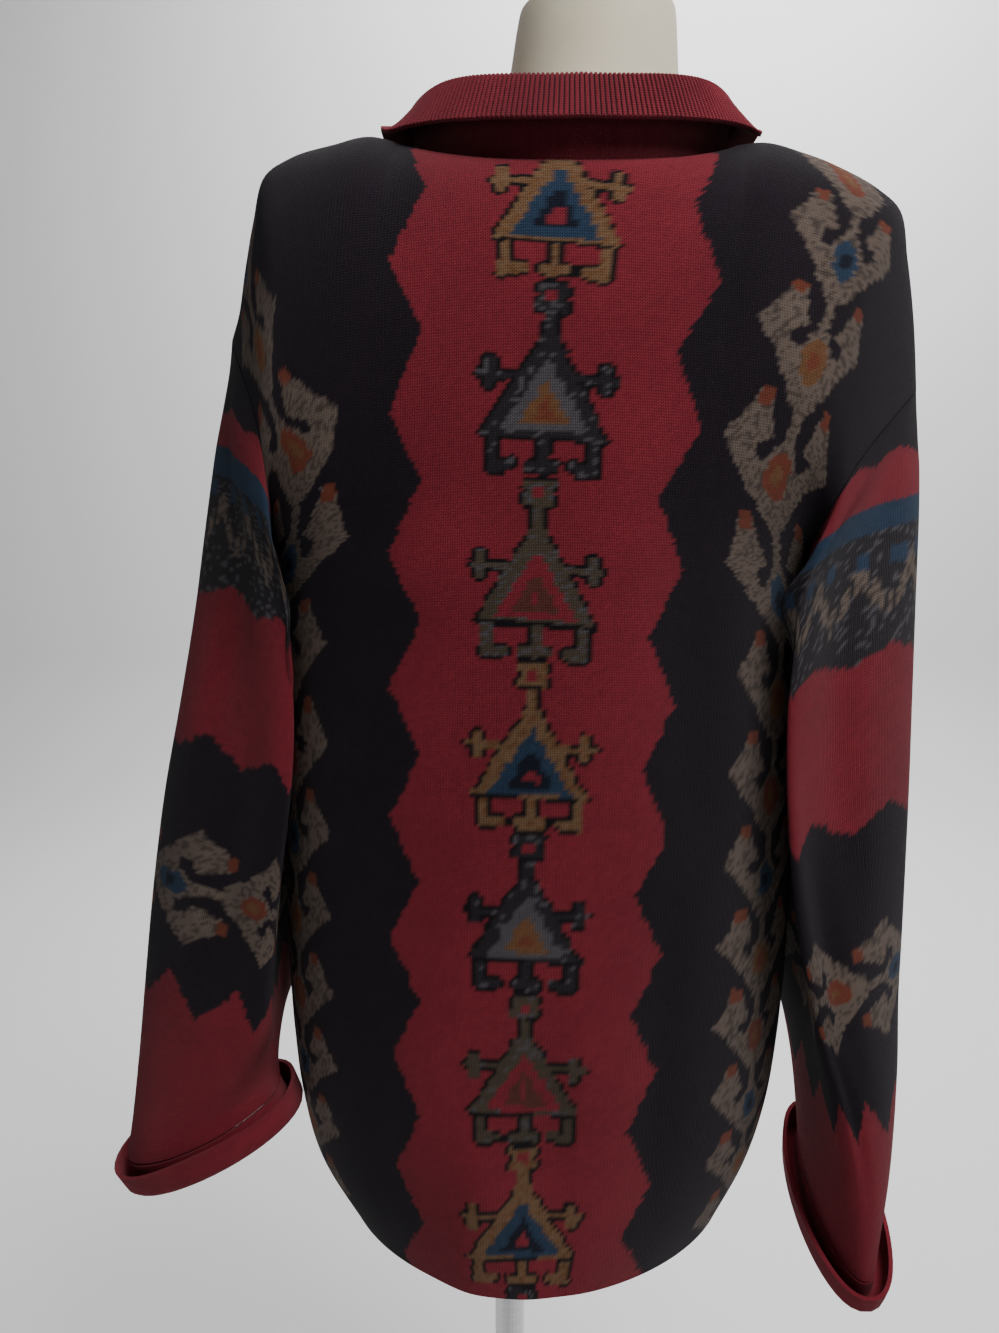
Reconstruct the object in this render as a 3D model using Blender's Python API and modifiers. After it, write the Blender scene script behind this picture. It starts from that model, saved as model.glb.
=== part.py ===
"""A button-up cardigan hanging on a limbless dress form.

Metres, +Z up. The origin is on the floor under the stand's pole. The fronts face -Y, the back
faces +Y, and the wearer's left is +X. Every knit piece is a wall: a grid of outer points, and
the same grid moved in along its normals. Neighbouring pieces read one shared surface and stop
a seam's width short of each other.
"""

import math
from collections import namedtuple

import bpy
import numpy as np

WALL = 0.0021  # thickness of the fine wool knit
SEAM = 0.00035  # gap kept along every seam
ARMHOLE_EXTRA = 0.0006  # and this much more along the armholes, where the sleeve turns back
INSIDE_EASE = 0.0022  # how much further the inner face stops short of a seam

MIDDLE_X = -0.013  # line of the centre back and of the button bands
HEM_Z = 0.603
BODY_ROWS = 11  # rows from the hem up to the underarms
YOKE_ROWS = 12  # rows from the underarms up to the shoulders, one for each sleeve column
PANEL_STEPS = 11  # columns from a side seam to the middle
NECK_SHARE = 0.40  # part of a panel's top edge that is neckline
ARMHOLE_REACH = 1.5  # power by which an armhole's height fades towards the middle
SLEEVE_CLEAR = 0.005  # a sleeve hangs at least this far outside the body
UNDERARM_CLEAR = 0.0138  # more than that just under the armhole
UNDERARM_FADE = 0.14  # part of the sleeve over which that fades out
CUFF_CLEAR = 0.016  # and its end this far, for the turned-back cuff
UNDERARM_POINT = 0.22  # part of a sleeve over which its pointed underarm grows round
BAND_HALF = 0.015  # half the width of a button band
SURFACE_PARTS = 4  # places read on each span of the body when another piece is kept off it

RIB_RISE = 0.0007
RIB_COLUMNS = 6  # outer columns of the collar for each inner one

Section = namedtuple("Section", "z left right back front roundness")
BODY = (
    Section(z=0.600, left=0.132, right=-0.176, back=0.120, front=-0.118, roundness=1.75),
    Section(z=0.650, left=0.158, right=-0.197, back=0.121, front=-0.120, roundness=1.90),
    Section(z=0.710, left=0.171, right=-0.211, back=0.121, front=-0.122, roundness=2.00),
    Section(z=0.780, left=0.176, right=-0.217, back=0.120, front=-0.122, roundness=2.00),
    Section(z=0.870, left=0.177, right=-0.219, back=0.119, front=-0.121, roundness=2.00),
    Section(z=1.000, left=0.176, right=-0.218, back=0.119, front=-0.121, roundness=2.00),
    Section(z=1.125, left=0.177, right=-0.215, back=0.121, front=-0.1180, roundness=2.10),
)

# Sections of each sleeve. The outer and inner points lie in the XZ plane, wrap is how far the
# middle of the section is set back round the body, and nod tips it towards the back.
Ring = namedtuple("Ring", "out_x out_z in_x in_z mid_y half_y wrap nod")
SLEEVES = {
    "left": (
        Ring(0.1955, 1.288, 0.1770, 1.125, 0.000, 0.092, 0.026, 0.00),
        Ring(0.2110, 1.224, 0.1815, 1.085, 0.003, 0.096, 0.040, 0.00),
        Ring(0.2206, 1.168, 0.1835, 1.050, 0.005, 0.095, 0.054, 0.00),
        Ring(0.2372, 1.074, 0.1845, 0.985, 0.009, 0.090, 0.062, 0.00),
        Ring(0.2622, 0.964, 0.1850, 0.905, 0.013, 0.084, 0.060, 0.00),
        Ring(0.2755, 0.885, 0.1850, 0.845, 0.018, 0.079, 0.054, 0.00),
        Ring(0.2860, 0.804, 0.1830, 0.785, 0.024, 0.072, 0.040, 0.00),
        Ring(0.2940, 0.722, 0.1840, 0.748, 0.036, 0.053, 0.006, 0.00),
        Ring(0.3000, 0.674, 0.1800, 0.729, 0.048, 0.042, 0.000, 0.00),
    ),
    "right": (
        Ring(-0.2852, 1.256, -0.2150, 1.110, 0.000, 0.094, 0.040, 0.00),
        Ring(-0.2899, 1.224, -0.2210, 1.080, 0.000, 0.097, 0.056, 0.00),
        Ring(-0.2939, 1.180, -0.2230, 1.050, 0.004, 0.098, 0.070, 0.00),
        Ring(-0.2974, 1.083, -0.2250, 0.985, 0.008, 0.094, 0.076, 0.00),
        Ring(-0.3008, 0.968, -0.2265, 0.900, 0.013, 0.090, 0.068, 0.00),
        Ring(-0.3010, 0.870, -0.2275, 0.835, 0.019, 0.086, 0.052, 0.00),
        Ring(-0.2990, 0.800, -0.2290, 0.785, 0.026, 0.083, 0.036, -0.04),
        Ring(-0.2960, 0.720, -0.2320, 0.722, 0.036, 0.078, 0.012, -0.14),
        Ring(-0.2800, 0.634, -0.2370, 0.634, 0.046, 0.070, 0.000, -0.28),
    ),
}
SLEEVE_COLUMNS = 2 * YOKE_ROWS
SLEEVE_CROWD = 1.25  # power that crowds the rows towards the armhole
SLEEVE_ROWS = 15

# Long folds of the sleeves: the angle (0 outer, 90 back, 180 inner, 270 front) where the fold
# starts and ends, how far down the sleeve that is (0 armhole, 1 cuff), its depth and its width.
Fold = namedtuple("Fold", "start_angle end_angle start end depth width")
FOLDS = {
    "left": (
        Fold(start_angle=22, end_angle=72, start=0.02, end=0.72, depth=0.011, width=15),
        Fold(start_angle=334, end_angle=318, start=0.12, end=0.80, depth=0.005, width=12),
    ),
    "right": (
        Fold(start_angle=38, end_angle=96, start=0.02, end=0.94, depth=0.010, width=15),
        Fold(start_angle=334, end_angle=316, start=0.08, end=0.75, depth=0.006, width=12),
    ),
}
# A soft pouch of spare cloth over the underarm, which ends in an overhang.
Pouch = namedtuple("Pouch", "angle width top bottom swell")
POUCHES = {
    "left": Pouch(angle=118, width=30, top=0.04, bottom=0.20, swell=0.006),
    "right": Pouch(angle=112, width=34, top=0.02, bottom=0.22, swell=0.013),
}

CUFF_DROP = 0.016  # from the sleeve's last row down to the turn
CUFF_TURN = 0.0052  # radius of the turn, at the middle of the wall
CUFF_RISE = 0.020  # height of the turned-back edge above the turn
CUFF_WALL = 0.0032
CUFF_ARC_STEPS = 3
CUFF_START = 0.0012  # the cuff starts this far below the sleeve's last row
CUFF_FLARE = 0.0012  # how far the turned-back edge stands off

# The neckline, seen from above: an ellipse, with its height at the back, sides and front.
NECK_X = -0.040
NECK_Y = -0.004
NECK_HALF_X = 0.104
NECK_HALF_Y = 0.094
NECK_BACK_Z = 1.380
NECK_SIDE_Z = 1.4105
NECK_FRONT_Z = 1.305
NECK_SEAM_ANGLE = 84  # degrees from the centre back to the shoulder seam

# The shoulder lines, from the neckline out over the tip and down to the top of the armhole.
Ridge = namedtuple("Ridge", "x z")
SHOULDERS = {
    "left": (
        Ridge(0.0870, 1.4135), Ridge(0.1127, 1.4083), Ridge(0.1432, 1.4009),
        Ridge(0.1624, 1.3905), Ridge(0.1710, 1.3650), Ridge(0.1790, 1.3350),
        Ridge(0.1873, 1.3050), Ridge(0.1955, 1.2880),
    ),
    "right": (
        Ridge(-0.1600, 1.4100), Ridge(-0.1862, 1.4040), Ridge(-0.2137, 1.3947),
        Ridge(-0.2415, 1.3822), Ridge(-0.2585, 1.3700), Ridge(-0.2670, 1.3400),
        Ridge(-0.2743, 1.3100), Ridge(-0.2852, 1.2560),
    ),
}
SHOULDER_Y = 0.012  # the shoulder seam lies this far behind the form's middle

# The folded collar at the back, the sides and the front: where the stand starts over the
# neckline, its rise and lean, and how far its free edge lies out from the seam and down from
# the fold.
Turn = namedtuple("Turn", "angle base rise lean out drop")
COLLAR = (
    Turn(angle=0, base=0.0011, rise=0.0475, lean=-0.004, out=0.0110, drop=0.027),
    Turn(angle=50, base=0.0016, rise=0.0420, lean=-0.001, out=0.0160, drop=0.026),
    Turn(angle=90, base=0.0049, rise=0.0210, lean=0.004, out=0.0270, drop=0.016),
    Turn(angle=135, base=0.0075, rise=0.0260, lean=0.002, out=0.0250, drop=0.036),
    Turn(angle=180, base=0.0036, rise=0.0280, lean=0.000, out=0.0200, drop=0.050),
)
COLLAR_WALL = 0.0030
COLLAR_GAP = 1.5  # degrees from the middle line to each front end of the collar
COLLAR_RIBS = 264
COLLAR_FOLD = 0.0050  # width of the fold at the top of the stand
COLLAR_OFF = 0.0027  # the fall's middle keeps this far out of the body's surface
COLLAR_ROLL = 0.0034  # and halfway down this much further
COLLAR_PASSES = 4  # rounds of moving the fall out
COLLAR_SPREAD = 9  # columns to each side over which such a move is shared

BUTTON_COUNT = 6
BUTTON_RADIUS = 0.0105
BUTTON_THICK = 0.0040
BUTTON_TOP_DROP = 0.030  # from the neckline down to the first button
BUTTON_BOTTOM_RISE = 0.055  # from the hem up to the last one
BAND_OVER = 0.0034  # the buttonhole band lies this far over the button band
BAND_TUCK = 0.009  # the button band stops this far short of the other seam
BAND_TOP_GAP = 0.005  # the bands stop this far under the collar
BAND_COLUMNS = 17
BAND_STEP = 0.002  # part of the tuck that the buttonhole band uses to rise over the other one

Slice = namedtuple("Slice", "z left right back front neck")
FORM = (
    Slice(z=0.700, left=0.118, right=-0.158, back=0.082, front=-0.076, neck=0.010),
    Slice(z=0.706, left=0.132, right=-0.172, back=0.094, front=-0.086, neck=0.010),
    Slice(z=0.730, left=0.144, right=-0.186, back=0.104, front=-0.094, neck=0.010),
    Slice(z=0.800, left=0.148, right=-0.194, back=0.107, front=-0.098, neck=0.010),
    Slice(z=0.900, left=0.122, right=-0.178, back=0.093, front=-0.092, neck=0.010),
    Slice(z=1.000, left=0.100, right=-0.166, back=0.081, front=-0.088, neck=0.010),
    Slice(z=1.100, left=0.112, right=-0.188, back=0.088, front=-0.102, neck=0.010),
    Slice(z=1.200, left=0.130, right=-0.214, back=0.098, front=-0.110, neck=0.010),
    Slice(z=1.280, left=0.146, right=-0.236, back=0.088, front=-0.092, neck=0.020),
    Slice(z=1.335, left=0.157, right=-0.250, back=0.062, front=-0.064, neck=0.040),
    Slice(z=1.362, left=0.160, right=-0.250, back=0.048, front=-0.046, neck=0.055),
    Slice(z=1.378, left=0.157, right=-0.237, back=0.037, front=-0.033, neck=0.060),
    Slice(z=1.391, left=0.145, right=-0.210, back=0.029, front=-0.022, neck=0.062),
    Slice(z=1.399, left=0.124, right=-0.184, back=0.022, front=-0.014, neck=0.062),
    Slice(z=1.403, left=0.086, right=-0.150, back=0.018, front=-0.010, neck=0.063),
    Slice(z=1.410, left=0.020, right=-0.080, back=0.010, front=-0.010, neck=0.0660),
    Slice(z=1.445, left=0.000, right=-0.070, back=0.010, front=-0.010, neck=0.0595),
    Slice(z=1.490, left=0.000, right=-0.070, back=0.010, front=-0.010, neck=0.0540),
    Slice(z=1.498, left=0.000, right=-0.070, back=0.010, front=-0.010, neck=0.0515),
    Slice(z=1.501, left=0.000, right=-0.070, back=0.010, front=-0.010, neck=0.0470),
)
FORM_COLUMNS = 28
FORM_BLEND = 6  # how sharply the neck's circle meets the shoulders' ellipse
FORM_LEAN_X = -0.057  # the neck's middle
FORM_FOOT_X = -0.020  # the hips' middle

POLE_RADIUS = 0.0125
BASE_RADIUS = 0.165
BASE_EDGE = 0.010
BASE_HUB_RADIUS = 0.024
BASE_HUB_TOP = 0.045
TOUCH = 0.0003  # gap between hard pieces that bear on each other

CRIMSON = (0.205, 0.014, 0.028, 1.0)
COLLAR_RED = (0.170, 0.015, 0.030, 1.0)
AUBERGINE = (0.019, 0.012, 0.021, 1.0)
CREAM = (0.86, 0.80, 0.66, 1.0)
STEEL = (0.55, 0.55, 0.56, 1.0)
HORN = (0.035, 0.018, 0.014, 1.0)


def smooth(at, xs, ys):
    """A cubic through the points (xs, ys), with its slopes taken from the neighbours."""
    xs = np.asarray(xs, float)
    ys = np.asarray(ys, float)
    slopes = np.gradient(ys, xs)
    k = np.clip(np.searchsorted(xs, at) - 1, 0, len(xs) - 2)
    span = xs[k + 1] - xs[k]
    t = np.clip((at - xs[k]) / span, 0.0, 1.0)
    return (
        ys[k] * (1 + 2 * t) * (1 - t) ** 2
        + slopes[k] * span * t * (1 - t) ** 2
        + ys[k + 1] * t**2 * (3 - 2 * t)
        - slopes[k + 1] * span * t**2 * (1 - t)
    )


def column(table, name, at, key):
    """The named column of a table, read smoothly at the values of its key column."""
    return smooth(at, [getattr(row, key) for row in table], [getattr(row, name) for row in table])


def by_row(table, name, share):
    """The named column of a table, read smoothly from its first row, 0, to its last, 1."""
    places = np.linspace(0.0, 1.0, len(table))
    return smooth(share, places, [getattr(row, name) for row in table])


def unit(vectors):
    return vectors / np.linalg.norm(vectors, axis=-1, keepdims=True)


def normals_of(grid, closed):
    """Normals of a grid of points (rows, columns, 3): down its columns crossed with its rows."""
    along = np.gradient(grid, axis=0)
    if closed:
        around = np.roll(grid, -1, axis=1) - np.roll(grid, 1, axis=1)
    else:
        around = np.gradient(grid, axis=1)
    return unit(np.cross(around, along))


def material(name, colour, roughness, metallic=0.0):
    made = bpy.data.materials.new(name)
    made.use_nodes = True
    shader = made.node_tree.nodes["Principled BSDF"]
    shader.inputs["Base Color"].default_value = colour
    shader.inputs["Roughness"].default_value = roughness
    shader.inputs["Metallic"].default_value = metallic
    return made


def solid(name, points, faces, finish, collection):
    mesh = bpy.data.meshes.new(name)
    mesh.from_pydata([tuple(p) for p in points], [], [tuple(f) for f in faces])
    mesh.validate()
    mesh.update()
    mesh.shade_smooth()
    mesh.set_sharp_from_angle(angle=math.radians(50))
    mesh.materials.append(finish)
    made = bpy.data.objects.new(name, mesh)
    collection.objects.link(made)
    return made


def strip_faces(lower, upper, closed):
    """Quads between two rows of point numbers that have the same length."""
    last = len(lower) if closed else len(lower) - 1
    count = len(lower)
    return [
        (lower[i], lower[(i + 1) % count], upper[(i + 1) % count], upper[i])
        for i in range(last)
    ]


def walled(name, outer, inner, finish, collection, closed=False):
    """A closed wall between an outer grid and an inner grid.

    Both are (rows, columns, 3). The inner grid may have fewer columns, each standing for a
    whole number of the outer ones, and another number of rows.
    """
    rows, columns = outer.shape[:2]
    inner_rows, inner_columns = inner.shape[:2]
    points = np.concatenate([outer.reshape(-1, 3), inner.reshape(-1, 3)])
    out = np.arange(rows * columns).reshape(rows, columns)
    inn = rows * columns + np.arange(inner_rows * inner_columns).reshape(inner_rows, inner_columns)
    faces = []
    for r in range(rows - 1):
        faces += strip_faces(out[r], out[r + 1], closed)
    for r in range(inner_rows - 1):
        faces += strip_faces(inn[r + 1], inn[r], closed)
    spans = inner_columns if closed else inner_columns - 1
    ratio = columns // inner_columns if closed else (columns - 1) // (inner_columns - 1)
    for edge_out, edge_in, turned in ((out[0], inn[0], False), (out[-1], inn[-1], True)):
        for k in range(spans):
            ring = [edge_out[(k * ratio + m) % columns] for m in range(ratio + 1)]
            face = [edge_in[k], edge_in[(k + 1) % inner_columns]] + ring[::-1]
            faces.append(face[::-1] if turned else face)
    if not closed:
        faces += end_faces(out[:, 0], inn[:, 0], True)
        faces += end_faces(out[:, -1], inn[:, -1], False)
    return solid(name, points, faces, finish, collection)


def end_faces(out, inn, turned):
    """The narrow end of an open wall: quads where its two faces have the same rows."""
    if len(out) == len(inn):
        faces = strip_faces(inn, out, False)
    else:
        faces = [list(inn) + list(out)[::-1]]
    return [tuple(f)[::-1] for f in faces] if turned else faces


def thickened(grid, closed, wall, ends=(False, False), sides=(False, False)):
    """Outer and inner grids of a piece, stopped short of its seams.

    ends says which of the first and last rows are seams. sides gives, for the first and last
    columns, how far beyond half a seam each row stops short, or False where there is no seam.
    """
    inner = grid - normals_of(grid, closed) * wall
    outer = grid.copy()
    for axis, seams in ((0, ends), (1, sides)):
        for index, seam in zip((0, -1), seams):
            if seam is False:
                continue
            step = 1 if index == 0 else -2
            extra = 0.0 if axis == 0 else seam
            for which, back in ((outer, SEAM / 2), (inner, SEAM / 2 + INSIDE_EASE)):
                edge = np.take(which, index, axis)
                away = unit(np.take(which, step, axis) - edge)
                if axis == 0:
                    which[index] = edge + away * back
                else:
                    which[:, index] = edge + away * (back + extra)
    return outer, inner


def neck_point(angle, side):
    """The neckline at an angle from the centre back, on the left (+1) or the right (-1)."""
    turn = np.radians(angle)
    toward_back = np.clip(np.cos(turn), 0, 1)
    toward_front = np.clip(-np.cos(turn), 0, 1)
    height = (
        NECK_SIDE_Z
        + (NECK_BACK_Z - NECK_SIDE_Z) * toward_back**1.2
        + (NECK_FRONT_Z - NECK_SIDE_Z) * toward_front**1.3
    )
    return np.stack(
        [NECK_X + side * NECK_HALF_X * np.sin(turn), NECK_Y + NECK_HALF_Y * np.cos(turn), height],
        axis=-1,
    )


def middle_angle(side, face):
    """The angle at which the neckline crosses the garment's middle line."""
    lean = math.degrees(math.asin(side * (MIDDLE_X - NECK_X) / NECK_HALF_X))
    return lean if face > 0 else 180 - lean


def top_edge(across, side, face):
    """A panel's top edge: the neckline up to NECK_SHARE, and then the shoulder line."""
    name = "left" if side > 0 else "right"
    on_neck = np.clip(across / NECK_SHARE, 0, 1)
    start = middle_angle(side, face)
    stop = NECK_SEAM_ANGLE
    neck = neck_point(start + (stop - start) * on_neck, side)
    corner = neck_point(np.array([float(stop)]), side)[0]
    xs = np.array([corner[0]] + [p.x for p in SHOULDERS[name]])
    zs = np.array([corner[2]] + [p.z for p in SHOULDERS[name]])
    run = np.concatenate([[0], np.cumsum(np.hypot(np.diff(xs), np.diff(zs)))])
    out = np.clip((across - NECK_SHARE) / (1 - NECK_SHARE), 0, 1)
    ys = corner[1] + (SHOULDER_Y - corner[1]) * np.clip(out * 4, 0, 1)
    ys = ys * (1 - np.clip(out * 2 - 1, 0, 1))
    ridge = np.stack([smooth(out * run[-1], run, xs), ys, smooth(out * run[-1], run, zs)], axis=-1)
    return np.where((across <= NECK_SHARE)[:, None], neck, ridge)


def ring_points(name, share, angle):
    """Points of a sleeve section. share is 0 at the armhole and 1 at the cuff."""
    table = SLEEVES[name]
    side = 1 if name == "left" else -1
    read = {field: by_row(table, field, share) for field in Ring._fields}
    turn = np.radians(angle)
    half = (1 + np.cos(turn)) / 2
    x = read["in_x"] + (read["out_x"] - read["in_x"]) * half
    x = x - side * read["wrap"] * np.sin(turn) ** 2
    pointed = np.where(half < 0.5, np.abs(np.sin(math.pi * half)), np.abs(np.sin(turn)))
    pointed = pointed * np.sign(np.sin(turn))
    share_pointed = np.clip(1 - share / UNDERARM_POINT, 0, 1) ** 1.5
    swing = np.sin(turn) + (pointed - np.sin(turn)) * share_pointed
    y = read["mid_y"] + read["half_y"] * swing
    z = read["in_z"] + (read["out_z"] - read["in_z"]) * half
    z = z + read["nod"] * read["half_y"] * np.sin(turn)
    return np.stack(np.broadcast_arrays(x, y, z), axis=-1)


def half_panel(side, face, across):
    """One half of the back or the front, from the middle (across 0) to the side (across 1).

    Below the underarm each row is a rounded quarter of the body's section. Above it each
    column rises upright from that row and bends over to the shoulder line like a quarter of
    an ellipse, and each row is then scaled so that it ends on the armhole.
    """
    name = "left" if side > 0 else "right"
    table = SLEEVES[name]
    middle_top = (SLEEVES["left"][0].in_z + SLEEVES["right"][0].in_z) / 2
    share = np.linspace(0, 1, BODY_ROWS)[:, None]
    z_middle = HEM_Z + (middle_top - HEM_Z) * share
    z_side = HEM_Z + (table[0].in_z - HEM_Z) * share
    z = z_middle + (z_side - z_middle) * across**2
    edge = column(BODY, name, z, "z")
    depth = column(BODY, "back" if face > 0 else "front", z, "z")
    power = 2 / column(BODY, "roundness", z, "z")
    turn = across * math.pi / 2
    x = MIDDLE_X + (edge - MIDDLE_X) * np.sin(turn) ** power
    y = depth * np.clip(np.cos(turn), 0, 1) ** power
    lower = np.stack([x, y, z], axis=-1)

    climb = np.linspace(180, 0, YOKE_ROWS + 1)[1:, None]
    rise = np.arcsin((1 + np.cos(np.radians(climb))) / 2) * 2 / math.pi
    start = lower[-1][None]
    top = top_edge(across, side, face)[None]
    outward = (1 - np.cos(rise * math.pi / 2))[..., None]
    upward = np.sin(rise * math.pi / 2)[..., None]
    mix = np.concatenate([outward, outward, upward], axis=-1)
    yoke = start + (top - start) * mix
    armhole = ring_points(name, np.zeros_like(rise), climb)
    armhole[..., 1] *= face
    middle = np.array([MIDDLE_X, 0.0])
    edge = yoke[:, -1:, :2] - middle
    span = yoke[:, :1, 1] - edge[..., 1]
    narrow = (armhole[..., 0] - MIDDLE_X) / edge[..., 0]
    flat = (yoke[:, :1, 1] - armhole[..., 1]) / span
    yoke[..., 0] = MIDDLE_X + (yoke[..., 0] - MIDDLE_X) * narrow
    yoke[..., 1] = armhole[..., 1] + (yoke[..., 1] - edge[..., 1]) * flat
    yoke[..., 2] += across**ARMHOLE_REACH * (armhole[..., 2] - yoke[:, -1:, 2])
    return eased(np.concatenate([lower, yoke]), across)


def eased(grid, across):
    """Softens the change of slope at the underarm row, fading out towards the side."""
    made = grid.copy()
    first = BODY_ROWS - 4
    last = BODY_ROWS + 3
    weight = (1 - across**3)[None, :, None]
    for _ in range(3):
        middle = (made[first - 1 : last - 1] + 2 * made[first:last] + made[first + 1 : last + 1]) / 4
        made[first:last] += weight * (middle - made[first:last])
    return made


def whole_panel(face, left_across, right_across):
    """Columns from the right side through the middle to the left side."""
    right = half_panel(-1, face, right_across)[:, ::-1]
    left = half_panel(1, face, left_across)
    return np.concatenate([right, left[:, 1:]], axis=1)


def band_share(side, half_width):
    """How far across a front its band ends, from the front's width at the chest."""
    reach = abs((BODY[4].left if side > 0 else BODY[4].right) - MIDDLE_X)
    return math.asin(half_width / reach) * 2 / math.pi


def fold_depth(name, share, angle):
    """How far the long folds and the pouch move a sleeve's wall, outwards if above 0."""
    moved = np.zeros(np.broadcast_shapes(np.shape(share), np.shape(angle)))
    for fold in FOLDS[name]:
        along = np.clip((share - fold.start) / (fold.end - fold.start), 0, 1)
        place = fold.start_angle + (fold.end_angle - fold.start_angle) * along
        apart = (angle - place + 180) % 360 - 180
        window = np.sin(along * math.pi) ** 0.6
        moved = moved - fold.depth * window * np.exp(-((apart / fold.width) ** 2))
    pouch = POUCHES[name]
    apart = (angle - pouch.angle + 180) % 360 - 180
    along = (share - pouch.top) / (pouch.bottom - pouch.top)
    swell = np.where(along < 1, np.clip(along, 0, 1) ** 2, np.clip(1 - (along - 1) * 4, 0, 1))
    return moved + pouch.swell * swell * np.exp(-((apart / pouch.width) ** 2))


def subdivided(grid, parts):
    """The flat faces of a grid of points, read at equal parts of each span."""
    for axis in (0, 1):
        place = np.linspace(0, grid.shape[axis] - 1, (grid.shape[axis] - 1) * parts + 1)
        first = np.minimum(place.astype(int), grid.shape[axis] - 2)
        shape = (-1, 1, 1) if axis == 0 else (1, -1, 1)
        part = (place - first).reshape(shape)
        grid = np.take(grid, first, axis) * (1 - part) + np.take(grid, first + 1, axis) * part
    return grid


def body_surface(side, first_row):
    """Points of the body's outer surface on one side, their normals, and which are armhole."""
    across = np.linspace(0, 1, PANEL_STEPS + 1)
    points, normals, is_edge = [], [], []
    for face in (1, -1):
        half = subdivided(half_panel(side, face, across)[first_row:], SURFACE_PARTS)
        armhole = np.zeros(half.shape[:2], bool)
        armhole[(BODY_ROWS - 1 - first_row) * SURFACE_PARTS + 1 :, -1] = True
        points.append(half.reshape(-1, 3))
        normals.append(-face * side * normals_of(half, False).reshape(-1, 3))
        is_edge.append(armhole.ravel())
    return np.concatenate(points), np.concatenate(normals), np.concatenate(is_edge)


def nearest(points, surface, axes):
    """The number of each point's nearest place on a surface, measured along the first axes."""
    flat = surface[:, :axes]
    return np.array(
        [[np.argmin(((flat - point[:axes]) ** 2).sum(axis=1)) for point in row] for row in points]
    )


def height_over(points, surface, facing, places):
    return ((points - surface[places]) * facing[places]).sum(axis=-1)


def clear_of_body(name, points, share, angle):
    """Moves the sleeve's points that face the body and come near it out, along its normals.

    Points whose nearest place on the body is the armhole's own edge are left as they are.
    """
    surface, facing, is_edge = body_surface(1 if name == "left" else -1, 0)
    places = nearest(points, surface, 3)
    inner = np.clip(-3 * np.cos(np.radians(angle)) - 0.8, 0, 1)
    leaving = np.clip(share / UNDERARM_FADE, 0, 1)
    wanted = SLEEVE_CLEAR * (leaving + (1 - leaving) * inner)
    wanted = (wanted + UNDERARM_CLEAR * inner * (1 - leaving)) * (share > 0)
    wanted = wanted + (CUFF_CLEAR - SLEEVE_CLEAR) * np.clip(share * 4 - 3, 0, 1)
    push = np.maximum(wanted - height_over(points, surface, facing, places), 0)
    push = push * ~is_edge[places] * np.clip(1 - 2 * np.cos(np.radians(angle)), 0, 1)
    return points + facing[places] * push[..., None]


def sleeve_grid(name):
    """The sleeve's outer points: rows from the armhole to the cuff, columns round it."""
    share = np.linspace(0, 1, SLEEVE_ROWS)[:, None] ** SLEEVE_CROWD
    step = 360 / SLEEVE_COLUMNS
    angle = np.arange(SLEEVE_COLUMNS)[None, :] * step
    grid = ring_points(name, share, angle)
    around = np.roll(grid, -1, axis=1) - np.roll(grid, 1, axis=1)
    along = np.gradient(grid, axis=0)
    outward = unit(np.cross(around, along)) * outward_sign(name)
    folded = grid + outward * fold_depth(name, share, angle)[..., None]
    return clear_of_body(name, folded, *np.broadcast_arrays(share, angle))


def outward_sign(name):
    """The angle runs the other way round on the right sleeve, seen from the cuff."""
    return -1 if name == "left" else 1


def build_sleeve(name, finish, collection):
    grid = sleeve_grid(name)
    if outward_sign(name) < 0:
        grid = grid[:, ::-1]
    outer, inner = thickened(grid, True, WALL, ends=(True, True))
    walled(f"sleeve_{name}", outer, inner, finish, collection, closed=True)


def cuff_profile():
    """Middle line of the turned-back cuff, as (outward, up) from the sleeve's last row."""
    turn = np.linspace(0, math.pi, CUFF_ARC_STEPS + 2)
    arc = np.stack(
        [CUFF_TURN * (1 - np.cos(turn)), -CUFF_DROP - CUFF_TURN * np.sin(turn)], axis=-1
    )
    start = [[0.0, -CUFF_START]]
    edge = [[2 * CUFF_TURN + CUFF_FLARE, CUFF_RISE - CUFF_DROP - CUFF_TURN]]
    return np.concatenate([start, arc, edge])


def build_cuff(name, finish, collection):
    """The profile carried round the sleeve's last row, in a frame that stands on that row."""
    grid = sleeve_grid(name)
    if outward_sign(name) < 0:
        grid = grid[:, ::-1]
    end = grid[-1] - normals_of(grid, True)[-1] * WALL / 2
    around = unit(np.roll(end, -1, axis=0) - np.roll(end, 1, axis=0))
    middle = end.mean(axis=0)
    spokes = end - middle
    up = np.linalg.svd(spokes, full_matrices=False)[2][2]
    up = up * np.sign(up[2])
    outward = unit(np.cross(up, around) * np.sign((np.cross(up, around) * spokes).sum()))
    profile = cuff_profile()
    tangent = unit(np.gradient(profile, axis=0))
    across = np.stack([-tangent[:, 1], tangent[:, 0]], axis=-1)
    sides = []
    for offset in (-CUFF_WALL / 2, CUFF_WALL / 2):
        line = profile + across * offset
        sides.append(end[None] + line[:, :1, None] * outward[None] + line[:, 1:, None] * up)
    walled(f"cuff_{name}", sides[1], sides[0], finish, collection, closed=True)


def collar_frame(angle):
    """Points of the neckline right round, from the left front to the right front."""
    side = np.where(angle >= 0, 1.0, -1.0)
    points = neck_point(np.abs(angle), side)
    along = np.gradient(points, axis=0)
    outward = unit(np.stack([-along[:, 1], along[:, 0], np.zeros(len(angle))], axis=-1))
    centre = np.array([NECK_X, NECK_Y, 0.0])
    flip = np.sign((outward * (points - centre))[:, :2].sum(axis=1))[:, None]
    return points, outward * flip


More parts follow.
